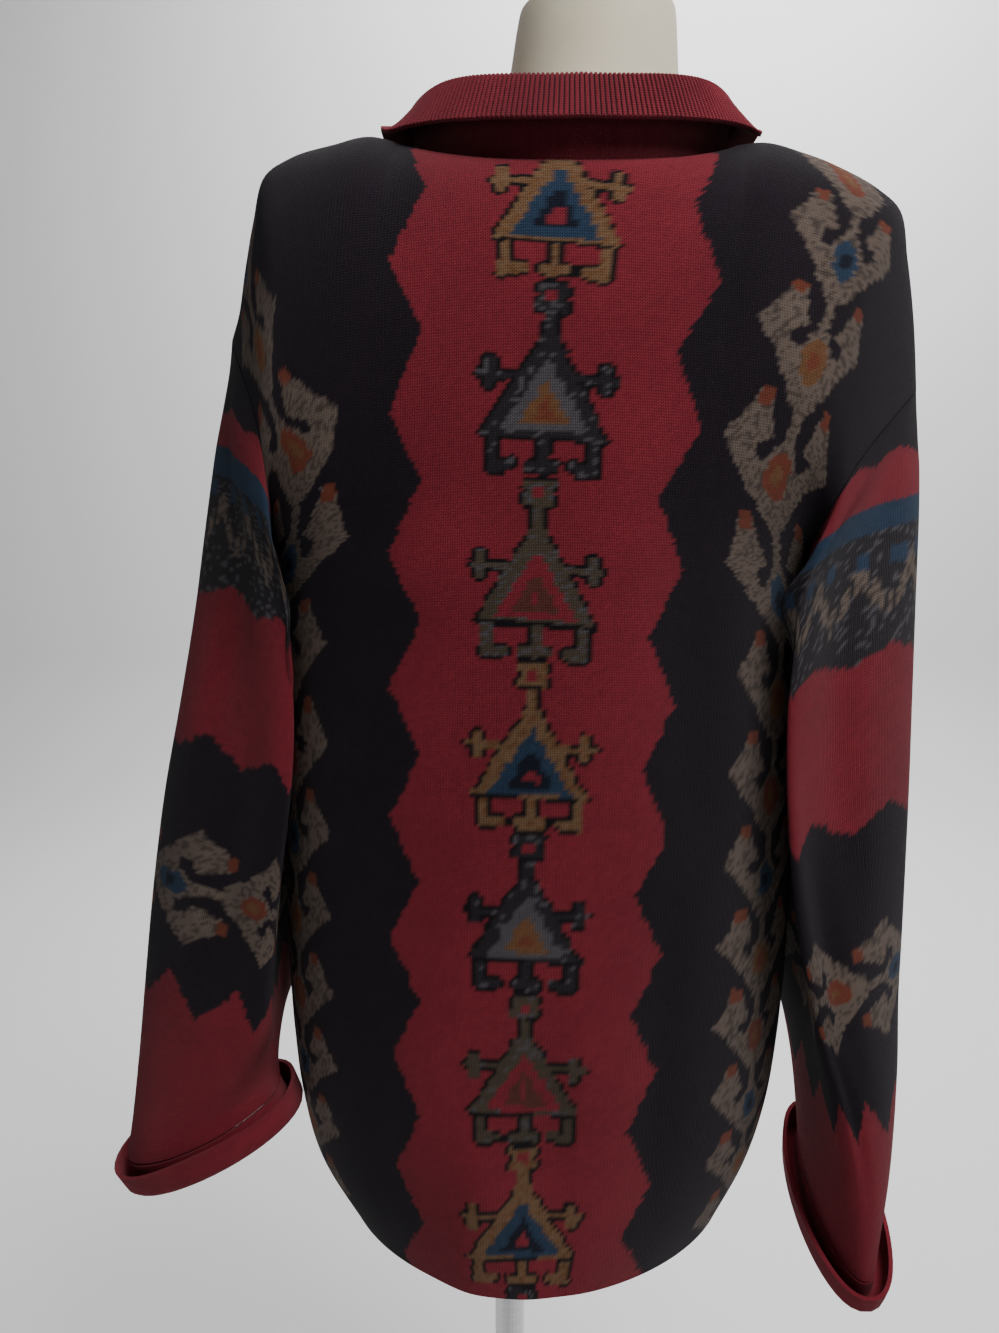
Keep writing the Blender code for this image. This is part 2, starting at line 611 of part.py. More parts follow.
def collar_middle(angle):
    """The collar's middle surface, rows from the neckline over the fold to the free edge.

    The fall is kept outside the body's surface, and outside the bands near the middle line.
    """
    size = {f: column(COLLAR, f, np.abs(angle), "angle") for f in Turn._fields[1:]}
    rise = size["rise"]
    lean = size["lean"]
    low = rise - size["drop"]
    fold = lean + COLLAR_FOLD
    turned = rise - 0.7 * COLLAR_FOLD
    out = np.stack([
        0 * lean, lean * 0.5, lean, lean + 0.45 * COLLAR_FOLD, fold,
        (fold + size["out"]) / 2, size["out"],
    ])
    up = np.stack([
        size["base"], rise * 0.5, rise - 0.8 * COLLAR_FOLD, rise, turned, (turned + low) / 2, low,
    ])
    points, outward = collar_frame(angle)
    middle = points[None] + outward[None] * out[..., None]
    middle[..., 2] += up
    pieces = [body_surface(side, BODY_ROWS)[:2] for side in (1, -1)]
    surface = np.concatenate([piece[0] for piece in pieces])
    facing = np.concatenate([piece[1] for piece in pieces])
    fall = middle[4:]
    near_band = np.clip(2 - np.abs(fall[..., 0] - MIDDLE_X) / BAND_HALF, 0, 1)
    near_band = near_band * (fall[..., 1] < 0)
    roll = COLLAR_ROLL * np.array([0.0, 1.0, 0.0])[:, None]
    wanted = COLLAR_OFF + roll + near_band * (BAND_OVER + RIB_RISE)
    under = surface[nearest(fall, surface, 2)][..., 2]
    fall[..., 2] += spread(np.maximum(under + COLLAR_OFF - fall[..., 2], 0))
    for _ in range(COLLAR_PASSES):
        places = nearest(fall, surface, 3)
        lacking = np.maximum(wanted - height_over(fall, surface, facing, places), 0)
        away = np.stack([smoothed(facing[places][..., k]) for k in range(3)], axis=-1)
        fall = fall + unit(away) * spread(lacking)[..., None]
    middle[4:] = fall
    return middle


def windows_along(values):
    """The values within COLLAR_SPREAD columns of each one along the collar, on a last axis."""
    padded = np.pad(values, ((0, 0), (COLLAR_SPREAD, COLLAR_SPREAD)), mode="edge")
    return np.lib.stride_tricks.sliding_window_view(padded, 2 * COLLAR_SPREAD + 1, axis=1)


def smoothed(values):
    return windows_along(values).mean(axis=-1)


def spread(lift):
    """The highest lift within reach of each column, smoothed, so that no column gets less."""
    return smoothed(windows_along(lift).max(axis=-1))


def build_collar(finish, collection):
    """A ribbed band that stands up from the neckline, folds over and falls outside."""
    lean = math.degrees(math.asin((MIDDLE_X - NECK_X) / NECK_HALF_X))
    angle = np.linspace(-180 - lean + COLLAR_GAP, 180 - lean - COLLAR_GAP, COLLAR_RIBS + 1)
    middle = collar_middle(angle)
    normal = normals_of(middle, False)
    crest = (np.arange(COLLAR_RIBS + 1) % 2)[None, :, None]
    outer = middle + normal * (COLLAR_WALL / 2 + RIB_RISE * (crest - 0.5))
    inner = (middle - normal * COLLAR_WALL / 2)[[0, 2, 3, 4, 5, 6], ::RIB_COLUMNS]
    walled("collar", outer, inner, finish, collection)


def build_band(name, grid, lift, finish, collection):
    """A ribbed band: every second outer column is a furrow, and the inside is plain."""
    normal = normals_of(grid, False)
    base = grid + normal * lift
    crest = (np.arange(grid.shape[1]) % 2)[None, :, None]
    outer = base + normal * RIB_RISE * (crest - 1)
    inner = (base - normal * WALL)[:, ::4]
    walled(name, outer, inner, finish, collection)


def front_pieces():
    """The left front, the right front and the strip between them, on one surface."""
    share = band_share(1, BAND_HALF)
    right_share = band_share(-1, BAND_HALF)
    outside = np.linspace(0, 1, PANEL_STEPS)
    left = np.concatenate([[0.0], share + (1 - share) * outside])
    right = np.concatenate([[0.0], right_share + (1 - right_share) * outside])
    grid = whole_panel(-1, left, right)
    middle = PANEL_STEPS
    return grid[:, middle + 1 :], grid[:, :middle], grid


def band_grid(columns, left_edge, right_edge):
    """A strip of the front between two places across it, from the right to the left."""
    share = band_share(1, BAND_HALF)
    right_share = band_share(-1, BAND_HALF)
    places = np.linspace(right_edge, left_edge, columns)
    left = half_panel(1, -1, np.append(np.clip(places, 0, None) * share, 1.0))[:, :-1]
    right = half_panel(-1, -1, np.append(np.clip(-places, 0, None) * right_share, 1.0))[:, :-1]
    return np.where((places >= 0)[None, :, None], left, right)


def build_bands(finish, collection):
    """The button band on the left front lies under the buttonhole band on the right one."""
    gap = SEAM / BAND_HALF
    tuck = 1 - BAND_TUCK / BAND_HALF
    under = band_grid(BAND_COLUMNS, 1 - gap, -tuck)[:, ::-1]
    over = band_grid(BAND_COLUMNS, 1.0, -1 + gap)[:, ::-1]
    for grid in (under, over):
        grid[-1] += unit(grid[-2] - grid[-1]) * BAND_TOP_GAP
    build_band("button_band", under, 0.0, finish, collection)
    from_seam = np.linspace(2 * BAND_HALF, 0, BAND_COLUMNS)
    lift = BAND_OVER * np.clip(from_seam / (BAND_TUCK - BAND_STEP), 0, 1)[None, :, None]
    build_band("buttonhole_band", over, lift, finish, collection)
    return over


def build_buttons(over, finish, collection):
    """Turned buttons, each with a raised rim, seated on the buttonhole band."""
    middle = over[:, over.shape[1] // 2]
    normal = normals_of(over, False)[:, over.shape[1] // 2]
    heights = np.linspace(
        middle[-1, 2] - BUTTON_TOP_DROP, middle[0, 2] + BUTTON_BOTTOM_RISE, BUTTON_COUNT
    )
    for number, height in enumerate(heights, start=1):
        place = np.array([np.interp(height, middle[:, 2], middle[:, k]) for k in range(3)])
        facing = unit(np.array([np.interp(height, middle[:, 2], normal[:, k]) for k in range(3)]))
        seat = BAND_OVER + 2 * TOUCH
        turned_button(f"button_{number}", place + facing * seat, facing, finish, collection)


def turned_button(name, place, facing, finish, collection):
    radius = BUTTON_RADIUS
    thick = BUTTON_THICK
    profile = [
        (0.0, thick * 0.62), (radius * 0.62, thick * 0.62), (radius * 0.80, thick),
        (radius * 0.94, thick * 0.92), (radius, thick * 0.55), (radius * 0.72, 0.0), (0.0, 0.0),
    ]
    mesh = bpy.data.meshes.new(name)
    edges = [(k, k + 1) for k in range(len(profile) - 1)]
    mesh.from_pydata([(r, 0.0, h) for r, h in profile], edges, [])
    mesh.materials.append(finish)
    made = bpy.data.objects.new(name, mesh)
    collection.objects.link(made)
    screw = made.modifiers.new("Turned", "SCREW")
    screw.steps = 14
    screw.render_steps = 14
    screw.use_merge_vertices = True
    screw.merge_threshold = 0.00005
    screw.use_smooth_shade = True
    made.location = place
    x, y, z = facing
    made.rotation_euler = (math.acos(z), 0.0, math.atan2(x, -y))


def form_ring(row):
    """The torso's ellipse joined to the neck's circle, in polar form about the neck's middle."""
    angle = np.arange(FORM_COLUMNS) * 2 * math.pi / FORM_COLUMNS
    middle_x = (row.left + row.right) / 2
    middle_y = (row.back + row.front) / 2
    half_x = (row.left - row.right) / 2
    half_y = (row.back - row.front) / 2
    torso = np.stack([middle_x + half_x * np.cos(angle), middle_y + half_y * np.sin(angle)], axis=-1)
    lean = (row.z - FORM[0].z) / (FORM[-1].z - FORM[0].z)
    neck_x = FORM_FOOT_X + (FORM_LEAN_X - FORM_FOOT_X) * lean
    from_neck = torso - np.array([neck_x, 0.0])
    reach = np.linalg.norm(from_neck, axis=1, keepdims=True)
    joined = (reach**FORM_BLEND + row.neck**FORM_BLEND) ** (1 / FORM_BLEND)
    if row.z > FORM[-6].z:
        around = np.stack([np.cos(angle), np.sin(angle)], axis=-1)
        flat = np.array([neck_x, 0.0]) + around * row.neck
    else:
        flat = np.array([neck_x, 0.0]) + from_neck / reach * joined
    return np.concatenate([flat, np.full((FORM_COLUMNS, 1), row.z)], axis=1)


def build_form(finish, collection):
    """A smooth limbless torso with a neck, closed by a flat face at each end."""
    grid = np.stack([form_ring(row) for row in FORM])
    rows = len(FORM)
    numbers = np.arange(rows * FORM_COLUMNS).reshape(rows, FORM_COLUMNS)
    faces = []
    for r in range(rows - 1):
        faces += strip_faces(numbers[r], numbers[r + 1], True)
    faces.append(list(numbers[0])[::-1])
    faces.append(list(numbers[-1]))
    solid("dress_form", grid.reshape(-1, 3), faces, finish, collection)


def build_stand(finish, collection):
    """A round steel pole on a low turned base."""
    bottom = BASE_HUB_TOP + TOUCH
    top = FORM[0].z - TOUCH
    bpy.ops.mesh.primitive_cylinder_add(
        vertices=24, radius=POLE_RADIUS, depth=top - bottom, location=(0, 0, (top + bottom) / 2)
    )
    place_in(bpy.context.object, "stand_pole", finish, collection)
    profile = [
        (0.0, BASE_HUB_TOP), (BASE_HUB_RADIUS * 0.9, BASE_HUB_TOP),
        (BASE_HUB_RADIUS, BASE_HUB_TOP - 0.003), (BASE_HUB_RADIUS, BASE_EDGE + 0.010),
        (BASE_HUB_RADIUS * 1.3, BASE_EDGE + 0.006), (BASE_RADIUS - 0.004, BASE_EDGE),
        (BASE_RADIUS, BASE_EDGE - 0.004), (BASE_RADIUS, 0.0), (0.0, 0.0),
    ]
    mesh = bpy.data.meshes.new("stand_base")
    edges = [(k, k + 1) for k in range(len(profile) - 1)]
    mesh.from_pydata([(r, 0.0, h) for r, h in profile], edges, [])
    mesh.materials.append(finish)
    made = bpy.data.objects.new("stand_base", mesh)
    collection.objects.link(made)
    screw = made.modifiers.new("Turned", "SCREW")
    screw.steps = 28
    screw.render_steps = 28
    screw.use_merge_vertices = True
    screw.merge_threshold = 0.00005
    screw.use_smooth_shade = True


def place_in(made, name, finish, collection):
    made.name = name
    made.data.name = name
    made.data.materials.append(finish)
    for home in list(made.users_collection):
        home.objects.unlink(made)
    collection.objects.link(made)


def main():
    for old in list(bpy.data.objects):
        bpy.data.objects.remove(old, do_unlink=True)
    collection = bpy.data.collections.new("Cardigan on a dress form")
    bpy.context.scene.collection.children.link(collection)
    crimson = material("Crimson knit", CRIMSON, 0.95)
    aubergine = material("Aubergine knit", AUBERGINE, 0.95)
    rib_red = material("Red rib knit", COLLAR_RED, 0.95)
    cream = material("Cream form cover", CREAM, 0.80)
    steel = material("Brushed steel", STEEL, 0.35, 1.0)
    horn = material("Dark horn button", HORN, 0.30)

    across = np.linspace(0, 1, PANEL_STEPS + 1)
    armhole = (np.arange(BODY_ROWS + YOKE_ROWS) >= BODY_ROWS)[:, None] * ARMHOLE_EXTRA
    back = whole_panel(1, across, across)[:, ::-1]
    outer, inner = thickened(back, False, WALL, ends=(False, True), sides=(armhole, armhole))
    walled("back", outer, inner, crimson, collection)
    left, right, _ = front_pieces()
    for name, grid, sides in (
        ("front_left", left, (0.0, armhole)), ("front_right", right, (armhole, 0.0)),
    ):
        outer, inner = thickened(grid, False, WALL, ends=(False, True), sides=sides)
        walled(name, outer, inner, aubergine, collection)
    for name in SLEEVES:
        build_sleeve(name, aubergine, collection)
        build_cuff(name, crimson, collection)
    build_collar(rib_red, collection)
    over = build_bands(rib_red, collection)
    build_buttons(over, horn, collection)
    build_form(cream, collection)
    build_stand(steel, collection)


main()
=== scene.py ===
# %% [markdown]
# # A jacquard cardigan on a dress form
# The imported CAD model gives the form and the place of every piece. This lesson lays fine knit
# over it: each cloth panel is a grid of stitches, coloured from charts, with a bump for the
# yarn. The frame is loaded first.
# %% Load the frame
import math
from collections import namedtuple

import bpy
import numpy as np
from mathutils import Matrix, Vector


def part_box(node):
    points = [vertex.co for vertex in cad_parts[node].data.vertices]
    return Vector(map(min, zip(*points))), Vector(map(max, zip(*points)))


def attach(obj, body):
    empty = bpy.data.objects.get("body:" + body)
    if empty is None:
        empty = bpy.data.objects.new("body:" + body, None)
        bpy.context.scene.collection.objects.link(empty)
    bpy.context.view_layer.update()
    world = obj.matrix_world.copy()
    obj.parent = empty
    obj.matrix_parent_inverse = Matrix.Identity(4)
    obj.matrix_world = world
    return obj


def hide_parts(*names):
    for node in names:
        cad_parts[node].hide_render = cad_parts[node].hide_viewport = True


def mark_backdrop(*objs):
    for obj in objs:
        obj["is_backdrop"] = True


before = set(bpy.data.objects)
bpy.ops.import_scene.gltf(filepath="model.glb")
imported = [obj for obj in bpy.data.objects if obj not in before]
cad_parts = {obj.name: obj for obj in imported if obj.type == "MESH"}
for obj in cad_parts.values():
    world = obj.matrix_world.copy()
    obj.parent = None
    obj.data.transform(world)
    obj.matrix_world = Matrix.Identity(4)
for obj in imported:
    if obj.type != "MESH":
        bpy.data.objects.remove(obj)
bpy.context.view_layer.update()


def placed(name, data):
    """An object for a mesh, a lamp or a camera, linked to the scene."""
    made = bpy.data.objects.new(name, data)
    bpy.context.scene.collection.objects.link(made)
    return made


# %% [markdown]
# The photographer stood behind the form, a little above its middle, with a short lens tipped
# down by 11 degrees. A camera could be aimed with a constraint, but plain angles are easier to
# read and to repeat, so the matrix is built from a turn and a tilt.
# %% The camera
LENS = 25.98  # millimetres, on a picture 36 mm high
EYE = (0.009, 0.72, 1.19)
TILT = 79.0  # degrees up from looking straight down

lens = bpy.data.cameras.new("Behind the form")
lens.sensor_fit = "VERTICAL"
lens.sensor_height = 36.0
lens.lens = LENS
camera = placed("Behind the form", lens)
camera.matrix_world = (
    Matrix.Translation(EYE)
    @ Matrix.Rotation(math.pi, 4, "Z")
    @ Matrix.Rotation(math.radians(TILT), 4, "X")
)
bpy.context.scene.camera = camera
print("camera:", EYE, "lens", LENS)

# %% [markdown]
# The garment's sizes come first, as a maker would write them down: sections of the body,
# rings of the sleeves, the shoulder lines and the turn of the collar. They are the CAD
# model's own tables, so that the cloth laid here falls where its solids are.
# %% Sizes of the garment
WALL = 0.0021
SEAM = 0.00035
ARMHOLE_EXTRA = 0.0006
MIDDLE_X = -0.013
HEM_Z = 0.603
BODY_ROWS = 11
YOKE_ROWS = 12
PANEL_STEPS = 11
NECK_SHARE = 0.40
ARMHOLE_REACH = 1.5
SLEEVE_CLEAR = 0.005
UNDERARM_CLEAR = 0.0138
UNDERARM_FADE = 0.14
CUFF_CLEAR = 0.016
UNDERARM_POINT = 0.22
BAND_HALF = 0.015
SLEEVE_COLUMNS = 2 * YOKE_ROWS
SLEEVE_ROWS = 15
SLEEVE_CROWD = 1.25

Section = namedtuple("Section", "z left right back front roundness")
BODY = (
    Section(z=0.600, left=0.132, right=-0.176, back=0.120, front=-0.118, roundness=1.75),
    Section(z=0.650, left=0.158, right=-0.197, back=0.121, front=-0.120, roundness=1.90),
    Section(z=0.710, left=0.171, right=-0.211, back=0.121, front=-0.122, roundness=2.00),
    Section(z=0.780, left=0.176, right=-0.217, back=0.120, front=-0.122, roundness=2.00),
    Section(z=0.870, left=0.177, right=-0.219, back=0.119, front=-0.121, roundness=2.00),
    Section(z=1.000, left=0.176, right=-0.218, back=0.119, front=-0.121, roundness=2.00),
    Section(z=1.125, left=0.177, right=-0.215, back=0.121, front=-0.118, roundness=2.10),
)
Ring = namedtuple("Ring", "out_x out_z in_x in_z mid_y half_y wrap nod")
SLEEVES = {
    "left": (
        Ring(0.1955, 1.288, 0.1770, 1.125, 0.000, 0.092, 0.026, 0.00),
        Ring(0.2110, 1.224, 0.1815, 1.085, 0.003, 0.096, 0.040, 0.00),
        Ring(0.2206, 1.168, 0.1835, 1.050, 0.005, 0.095, 0.054, 0.00),
        Ring(0.2372, 1.074, 0.1845, 0.985, 0.009, 0.090, 0.062, 0.00),
        Ring(0.2622, 0.964, 0.1850, 0.905, 0.013, 0.084, 0.060, 0.00),
        Ring(0.2755, 0.885, 0.1850, 0.845, 0.018, 0.079, 0.054, 0.00),
        Ring(0.2860, 0.804, 0.1830, 0.785, 0.024, 0.072, 0.040, 0.00),
        Ring(0.2940, 0.722, 0.1840, 0.748, 0.036, 0.053, 0.006, 0.00),
        Ring(0.3000, 0.674, 0.1800, 0.729, 0.048, 0.042, 0.000, 0.00),
    ),
    "right": (
        Ring(-0.2852, 1.256, -0.2150, 1.110, 0.000, 0.094, 0.040, 0.00),
        Ring(-0.2899, 1.224, -0.2210, 1.080, 0.000, 0.097, 0.056, 0.00),
        Ring(-0.2939, 1.180, -0.2230, 1.050, 0.004, 0.098, 0.070, 0.00),
        Ring(-0.2974, 1.083, -0.2250, 0.985, 0.008, 0.094, 0.076, 0.00),
        Ring(-0.3008, 0.968, -0.2265, 0.900, 0.013, 0.090, 0.068, 0.00),
        Ring(-0.3010, 0.870, -0.2275, 0.835, 0.019, 0.086, 0.052, 0.00),
        Ring(-0.2990, 0.800, -0.2290, 0.785, 0.026, 0.083, 0.036, -0.04),
        Ring(-0.2960, 0.720, -0.2320, 0.722, 0.036, 0.078, 0.012, -0.14),
        Ring(-0.2800, 0.634, -0.2370, 0.634, 0.046, 0.070, 0.000, -0.28),
    ),
}
Fold = namedtuple("Fold", "start_angle end_angle start end depth width")
FOLDS = {
    "left": (
        Fold(start_angle=22, end_angle=72, start=0.02, end=0.72, depth=0.011, width=15),
        Fold(start_angle=334, end_angle=318, start=0.12, end=0.80, depth=0.005, width=12),
    ),
    "right": (
        Fold(start_angle=38, end_angle=96, start=0.02, end=0.94, depth=0.010, width=15),
        Fold(start_angle=334, end_angle=316, start=0.08, end=0.75, depth=0.006, width=12),
    ),
}
Pouch = namedtuple("Pouch", "angle width top bottom swell")
POUCHES = {
    "left": Pouch(angle=118, width=30, top=0.04, bottom=0.20, swell=0.006),
    "right": Pouch(angle=112, width=34, top=0.02, bottom=0.22, swell=0.013),
}
NECK_X, NECK_Y = -0.040, -0.004
NECK_HALF_X, NECK_HALF_Y = 0.104, 0.094
NECK_BACK_Z, NECK_SIDE_Z, NECK_FRONT_Z = 1.380, 1.4105, 1.305
NECK_SEAM_ANGLE = 84
Ridge = namedtuple("Ridge", "x z")
SHOULDERS = {
    "left": (
        Ridge(0.0870, 1.4135), Ridge(0.1127, 1.4083), Ridge(0.1432, 1.4009),
        Ridge(0.1624, 1.3905), Ridge(0.1710, 1.3650), Ridge(0.1790, 1.3350),
        Ridge(0.1873, 1.3050), Ridge(0.1955, 1.2880),
    ),
    "right": (
        Ridge(-0.1600, 1.4100), Ridge(-0.1862, 1.4040), Ridge(-0.2137, 1.3947),
        Ridge(-0.2415, 1.3822), Ridge(-0.2585, 1.3700), Ridge(-0.2670, 1.3400),
        Ridge(-0.2743, 1.3100), Ridge(-0.2852, 1.2560),
    ),
}
SHOULDER_Y = 0.012
print("tables:", len(BODY), "body sections,", len(SLEEVES["left"]), "rings a sleeve")

# %% [markdown]
# A table holds a handful of sizes, and the cloth needs hundreds of rows. Two small readers do
# that everywhere below: one draws a smooth line through a table's numbers, and the other
# draws it through a coarse grid of points, so a dense shell still passes through them.
# %% Readers of tables and grids
def smooth(at, xs, ys):
    """A cubic through the points (xs, ys), with each slope taken from the neighbours."""
    xs = np.asarray(xs, float)
    ys = np.asarray(ys, float)
    slopes = np.gradient(ys, xs)
    k = np.clip(np.searchsorted(xs, at) - 1, 0, len(xs) - 2)
    span = xs[k + 1] - xs[k]
    t = np.clip((at - xs[k]) / span, 0.0, 1.0)
    return (
        ys[k] * (1 + 2 * t) * (1 - t) ** 2
        + slopes[k] * span * t * (1 - t) ** 2
        + ys[k + 1] * t**2 * (3 - 2 * t)
        - slopes[k + 1] * span * t**2 * (1 - t)
    )


def column(table, name, at, key):
    """The named column of a table, read smoothly at the values of its key column."""
    return smooth(at, [getattr(row, key) for row in table], [getattr(row, name) for row in table])


def by_row(table, name, share):
    """The named column of a table, read smoothly from its first row, 0, to its last, 1."""
    return smooth(share, np.linspace(0.0, 1.0, len(table)), [getattr(row, name) for row in table])


def finer(values, count, axis, closed=False):
    """More points along one axis: each mixes its four neighbours, as Catmull and Rom's curve does."""
    values = np.moveaxis(values, axis, 0)
    spans = len(values) if closed else len(values) - 1
    place = np.linspace(0, spans, count + 1)[:count] if closed else np.linspace(0, spans, count)
    first = np.minimum(place.astype(int), spans - 1)
    part = (place - first).reshape((-1,) + (1,) * (values.ndim - 1))
    if closed:
        wide = np.concatenate([values[-1:], values, values[:2]])
    else:
        wide = np.concatenate(
            [2 * values[:1] - values[1:2], values, 2 * values[-1:] - values[-2:-1]]
        )
    a, b, c, d = (wide[first + k] for k in range(4))
    bend = 2 * a - 5 * b + 4 * c - d + part * (3 * (b - c) + d - a)
    return np.moveaxis(b + 0.5 * part * (c - a + part * bend), 0, axis)


def unit(vectors):
    """Each vector divided by its own length."""
    return vectors / np.linalg.norm(vectors, axis=-1, keepdims=True)


def normals_of(grid, closed):
    """Across the rows crossed with up the columns: the side that faces out."""
    along = np.gradient(grid, axis=0)
    if closed:
        around = np.roll(grid, -1, axis=1) - np.roll(grid, 1, axis=1)
    else:
        around = np.gradient(grid, axis=1)
    return unit(np.cross(around, along))


def lengths(grid, axis):
    """How far along the cloth each point lies: the sum of the steps before it."""
    steps = np.linalg.norm(np.diff(grid, axis=axis), axis=-1)
    first = np.zeros_like(np.take(steps, [0], axis))
    return np.concatenate([first, np.cumsum(steps, axis=axis)], axis=axis)


# %% [markdown]
# The body is two panels, a back and a front in two halves. Each half is worked out from the
# middle to the side: rounded quarters of the body's section below the underarm, and columns
# that bend over to the shoulder above it, ending on the armhole. Cloth simulation could drape
# it, but the seams have to meet the sleeves exactly, so formulas are the safer way.
# %% Surface of the body
def neck_point(angle, side):
    """The neckline: an ellipse from above, lower at the back and lowest in front."""
    turn = np.radians(angle)
    toward_back = np.clip(np.cos(turn), 0, 1)
    toward_front = np.clip(-np.cos(turn), 0, 1)
    height = (
        NECK_SIDE_Z
        + (NECK_BACK_Z - NECK_SIDE_Z) * toward_back**1.2
        + (NECK_FRONT_Z - NECK_SIDE_Z) * toward_front**1.3
    )
    return np.stack(
        [NECK_X + side * NECK_HALF_X * np.sin(turn), NECK_Y + NECK_HALF_Y * np.cos(turn), height],
        axis=-1,
    )


def middle_angle(side, face):
    """The angle at which the neckline crosses the garment's middle line."""
    lean = math.degrees(math.asin(side * (MIDDLE_X - NECK_X) / NECK_HALF_X))
    return lean if face > 0 else 180 - lean


def top_edge(across, side, face):
    """A panel's top edge: the neckline up to NECK_SHARE, and then the shoulder line."""
    name = "left" if side > 0 else "right"
    on_neck = np.clip(across / NECK_SHARE, 0, 1)
    start = middle_angle(side, face)
    neck = neck_point(start + (NECK_SEAM_ANGLE - start) * on_neck, side)
    corner = neck_point(np.array([float(NECK_SEAM_ANGLE)]), side)[0]
    xs = np.array([corner[0]] + [p.x for p in SHOULDERS[name]])
    zs = np.array([corner[2]] + [p.z for p in SHOULDERS[name]])
    run = np.concatenate([[0], np.cumsum(np.hypot(np.diff(xs), np.diff(zs)))])
    out = np.clip((across - NECK_SHARE) / (1 - NECK_SHARE), 0, 1)
    ys = corner[1] + (SHOULDER_Y - corner[1]) * np.clip(out * 4, 0, 1)
    ys = ys * (1 - np.clip(out * 2 - 1, 0, 1))
    ridge = np.stack([smooth(out * run[-1], run, xs), ys, smooth(out * run[-1], run, zs)], axis=-1)
    return np.where((across <= NECK_SHARE)[:, None], neck, ridge)


def ring_points(name, share, angle):
    """A sleeve section: a tilted oval between its outer and inner points, wrapped round the body."""
    side = 1 if name == "left" else -1
    read = {field: by_row(SLEEVES[name], field, share) for field in Ring._fields}
    turn = np.radians(angle)
    half = (1 + np.cos(turn)) / 2
    x = read["in_x"] + (read["out_x"] - read["in_x"]) * half
    x = x - side * read["wrap"] * np.sin(turn) ** 2
    pointed = np.where(half < 0.5, np.abs(np.sin(math.pi * half)), np.abs(np.sin(turn)))
    pointed = pointed * np.sign(np.sin(turn))
    swing = np.sin(turn)
    swing = swing + (pointed - swing) * np.clip(1 - share / UNDERARM_POINT, 0, 1) ** 1.5
    y = read["mid_y"] + read["half_y"] * swing
    z = read["in_z"] + (read["out_z"] - read["in_z"]) * half
    z = z + read["nod"] * read["half_y"] * np.sin(turn)
    return np.stack(np.broadcast_arrays(x, y, z), axis=-1)


def half_panel(side, face, across):
    """Rows of the body's quarter section up to the underarm, then columns bent to the shoulder."""
    name = "left" if side > 0 else "right"
    middle_top = (SLEEVES["left"][0].in_z + SLEEVES["right"][0].in_z) / 2
    share = np.linspace(0, 1, BODY_ROWS)[:, None]
    z_middle = HEM_Z + (middle_top - HEM_Z) * share
    z_side = HEM_Z + (SLEEVES[name][0].in_z - HEM_Z) * share
    z = z_middle + (z_side - z_middle) * across**2
    edge = column(BODY, name, z, "z")
    depth = column(BODY, "back" if face > 0 else "front", z, "z")
    power = 2 / column(BODY, "roundness", z, "z")
    turn = across * math.pi / 2
    x = MIDDLE_X + (edge - MIDDLE_X) * np.sin(turn) ** power
    y = depth * np.clip(np.cos(turn), 0, 1) ** power
    lower = np.stack([x, y, z], axis=-1)

    climb = np.linspace(180, 0, YOKE_ROWS + 1)[1:, None]
    rise = np.arcsin((1 + np.cos(np.radians(climb))) / 2) * 2 / math.pi
    outward = (1 - np.cos(rise * math.pi / 2))[..., None]
    mix = np.concatenate([outward, outward, np.sin(rise * math.pi / 2)[..., None]], axis=-1)
    yoke = lower[-1][None] + (top_edge(across, side, face)[None] - lower[-1][None]) * mix
    armhole = ring_points(name, np.zeros_like(rise), climb)
    armhole[..., 1] *= face
    edge = yoke[:, -1:, :2] - np.array([MIDDLE_X, 0.0])
    narrow = (armhole[..., 0] - MIDDLE_X) / edge[..., 0]
    flat = (yoke[:, :1, 1] - armhole[..., 1]) / (yoke[:, :1, 1] - edge[..., 1])
    yoke[..., 0] = MIDDLE_X + (yoke[..., 0] - MIDDLE_X) * narrow
    yoke[..., 1] = armhole[..., 1] + (yoke[..., 1] - edge[..., 1]) * flat
    yoke[..., 2] += across**ARMHOLE_REACH * (armhole[..., 2] - yoke[:, -1:, 2])
    return eased(np.concatenate([lower, yoke]), across)


def eased(grid, across):
    """Mixes each row near the underarm with its neighbours, less and less towards the side."""
    made = grid.copy()
    first, last = BODY_ROWS - 4, BODY_ROWS + 3
    weight = (1 - across**3)[None, :, None]
    for _ in range(3):
        middle = (made[first - 1 : last - 1] + 2 * made[first:last] + made[first + 1 : last + 1]) / 4
        made[first:last] += weight * (middle - made[first:last])
    return made


print("half a back has", half_panel(1, 1, np.linspace(0, 1, 5)).shape[0], "coarse rows")

# %% [markdown]
# A sleeve is a tube of rings. Its fold and the pouch of spare cloth over the underarm move
# the rings in or out, and the side towards the body is held clear of it, because cloth that
# lies against cloth doesn't pass through it.
# %% Surface of the sleeves
def fold_depth(name, share, angle):
    """Bell-shaped troughs that wander round the sleeve as they run down it, plus the pouch."""
    moved = np.zeros(np.broadcast_shapes(np.shape(share), np.shape(angle)))
    for fold in FOLDS[name]:
        along = np.clip((share - fold.start) / (fold.end - fold.start), 0, 1)
        place = fold.start_angle + (fold.end_angle - fold.start_angle) * along
        apart = (angle - place + 180) % 360 - 180
        moved = moved - fold.depth * np.sin(along * math.pi) ** 0.6 * np.exp(
            -((apart / fold.width) ** 2)
        )
    pouch = POUCHES[name]
    apart = (angle - pouch.angle + 180) % 360 - 180
    along = (share - pouch.top) / (pouch.bottom - pouch.top)
    swell = np.where(along < 1, np.clip(along, 0, 1) ** 2, np.clip(1 - (along - 1) * 4, 0, 1))
    return moved + pouch.swell * swell * np.exp(-((apart / pouch.width) ** 2))


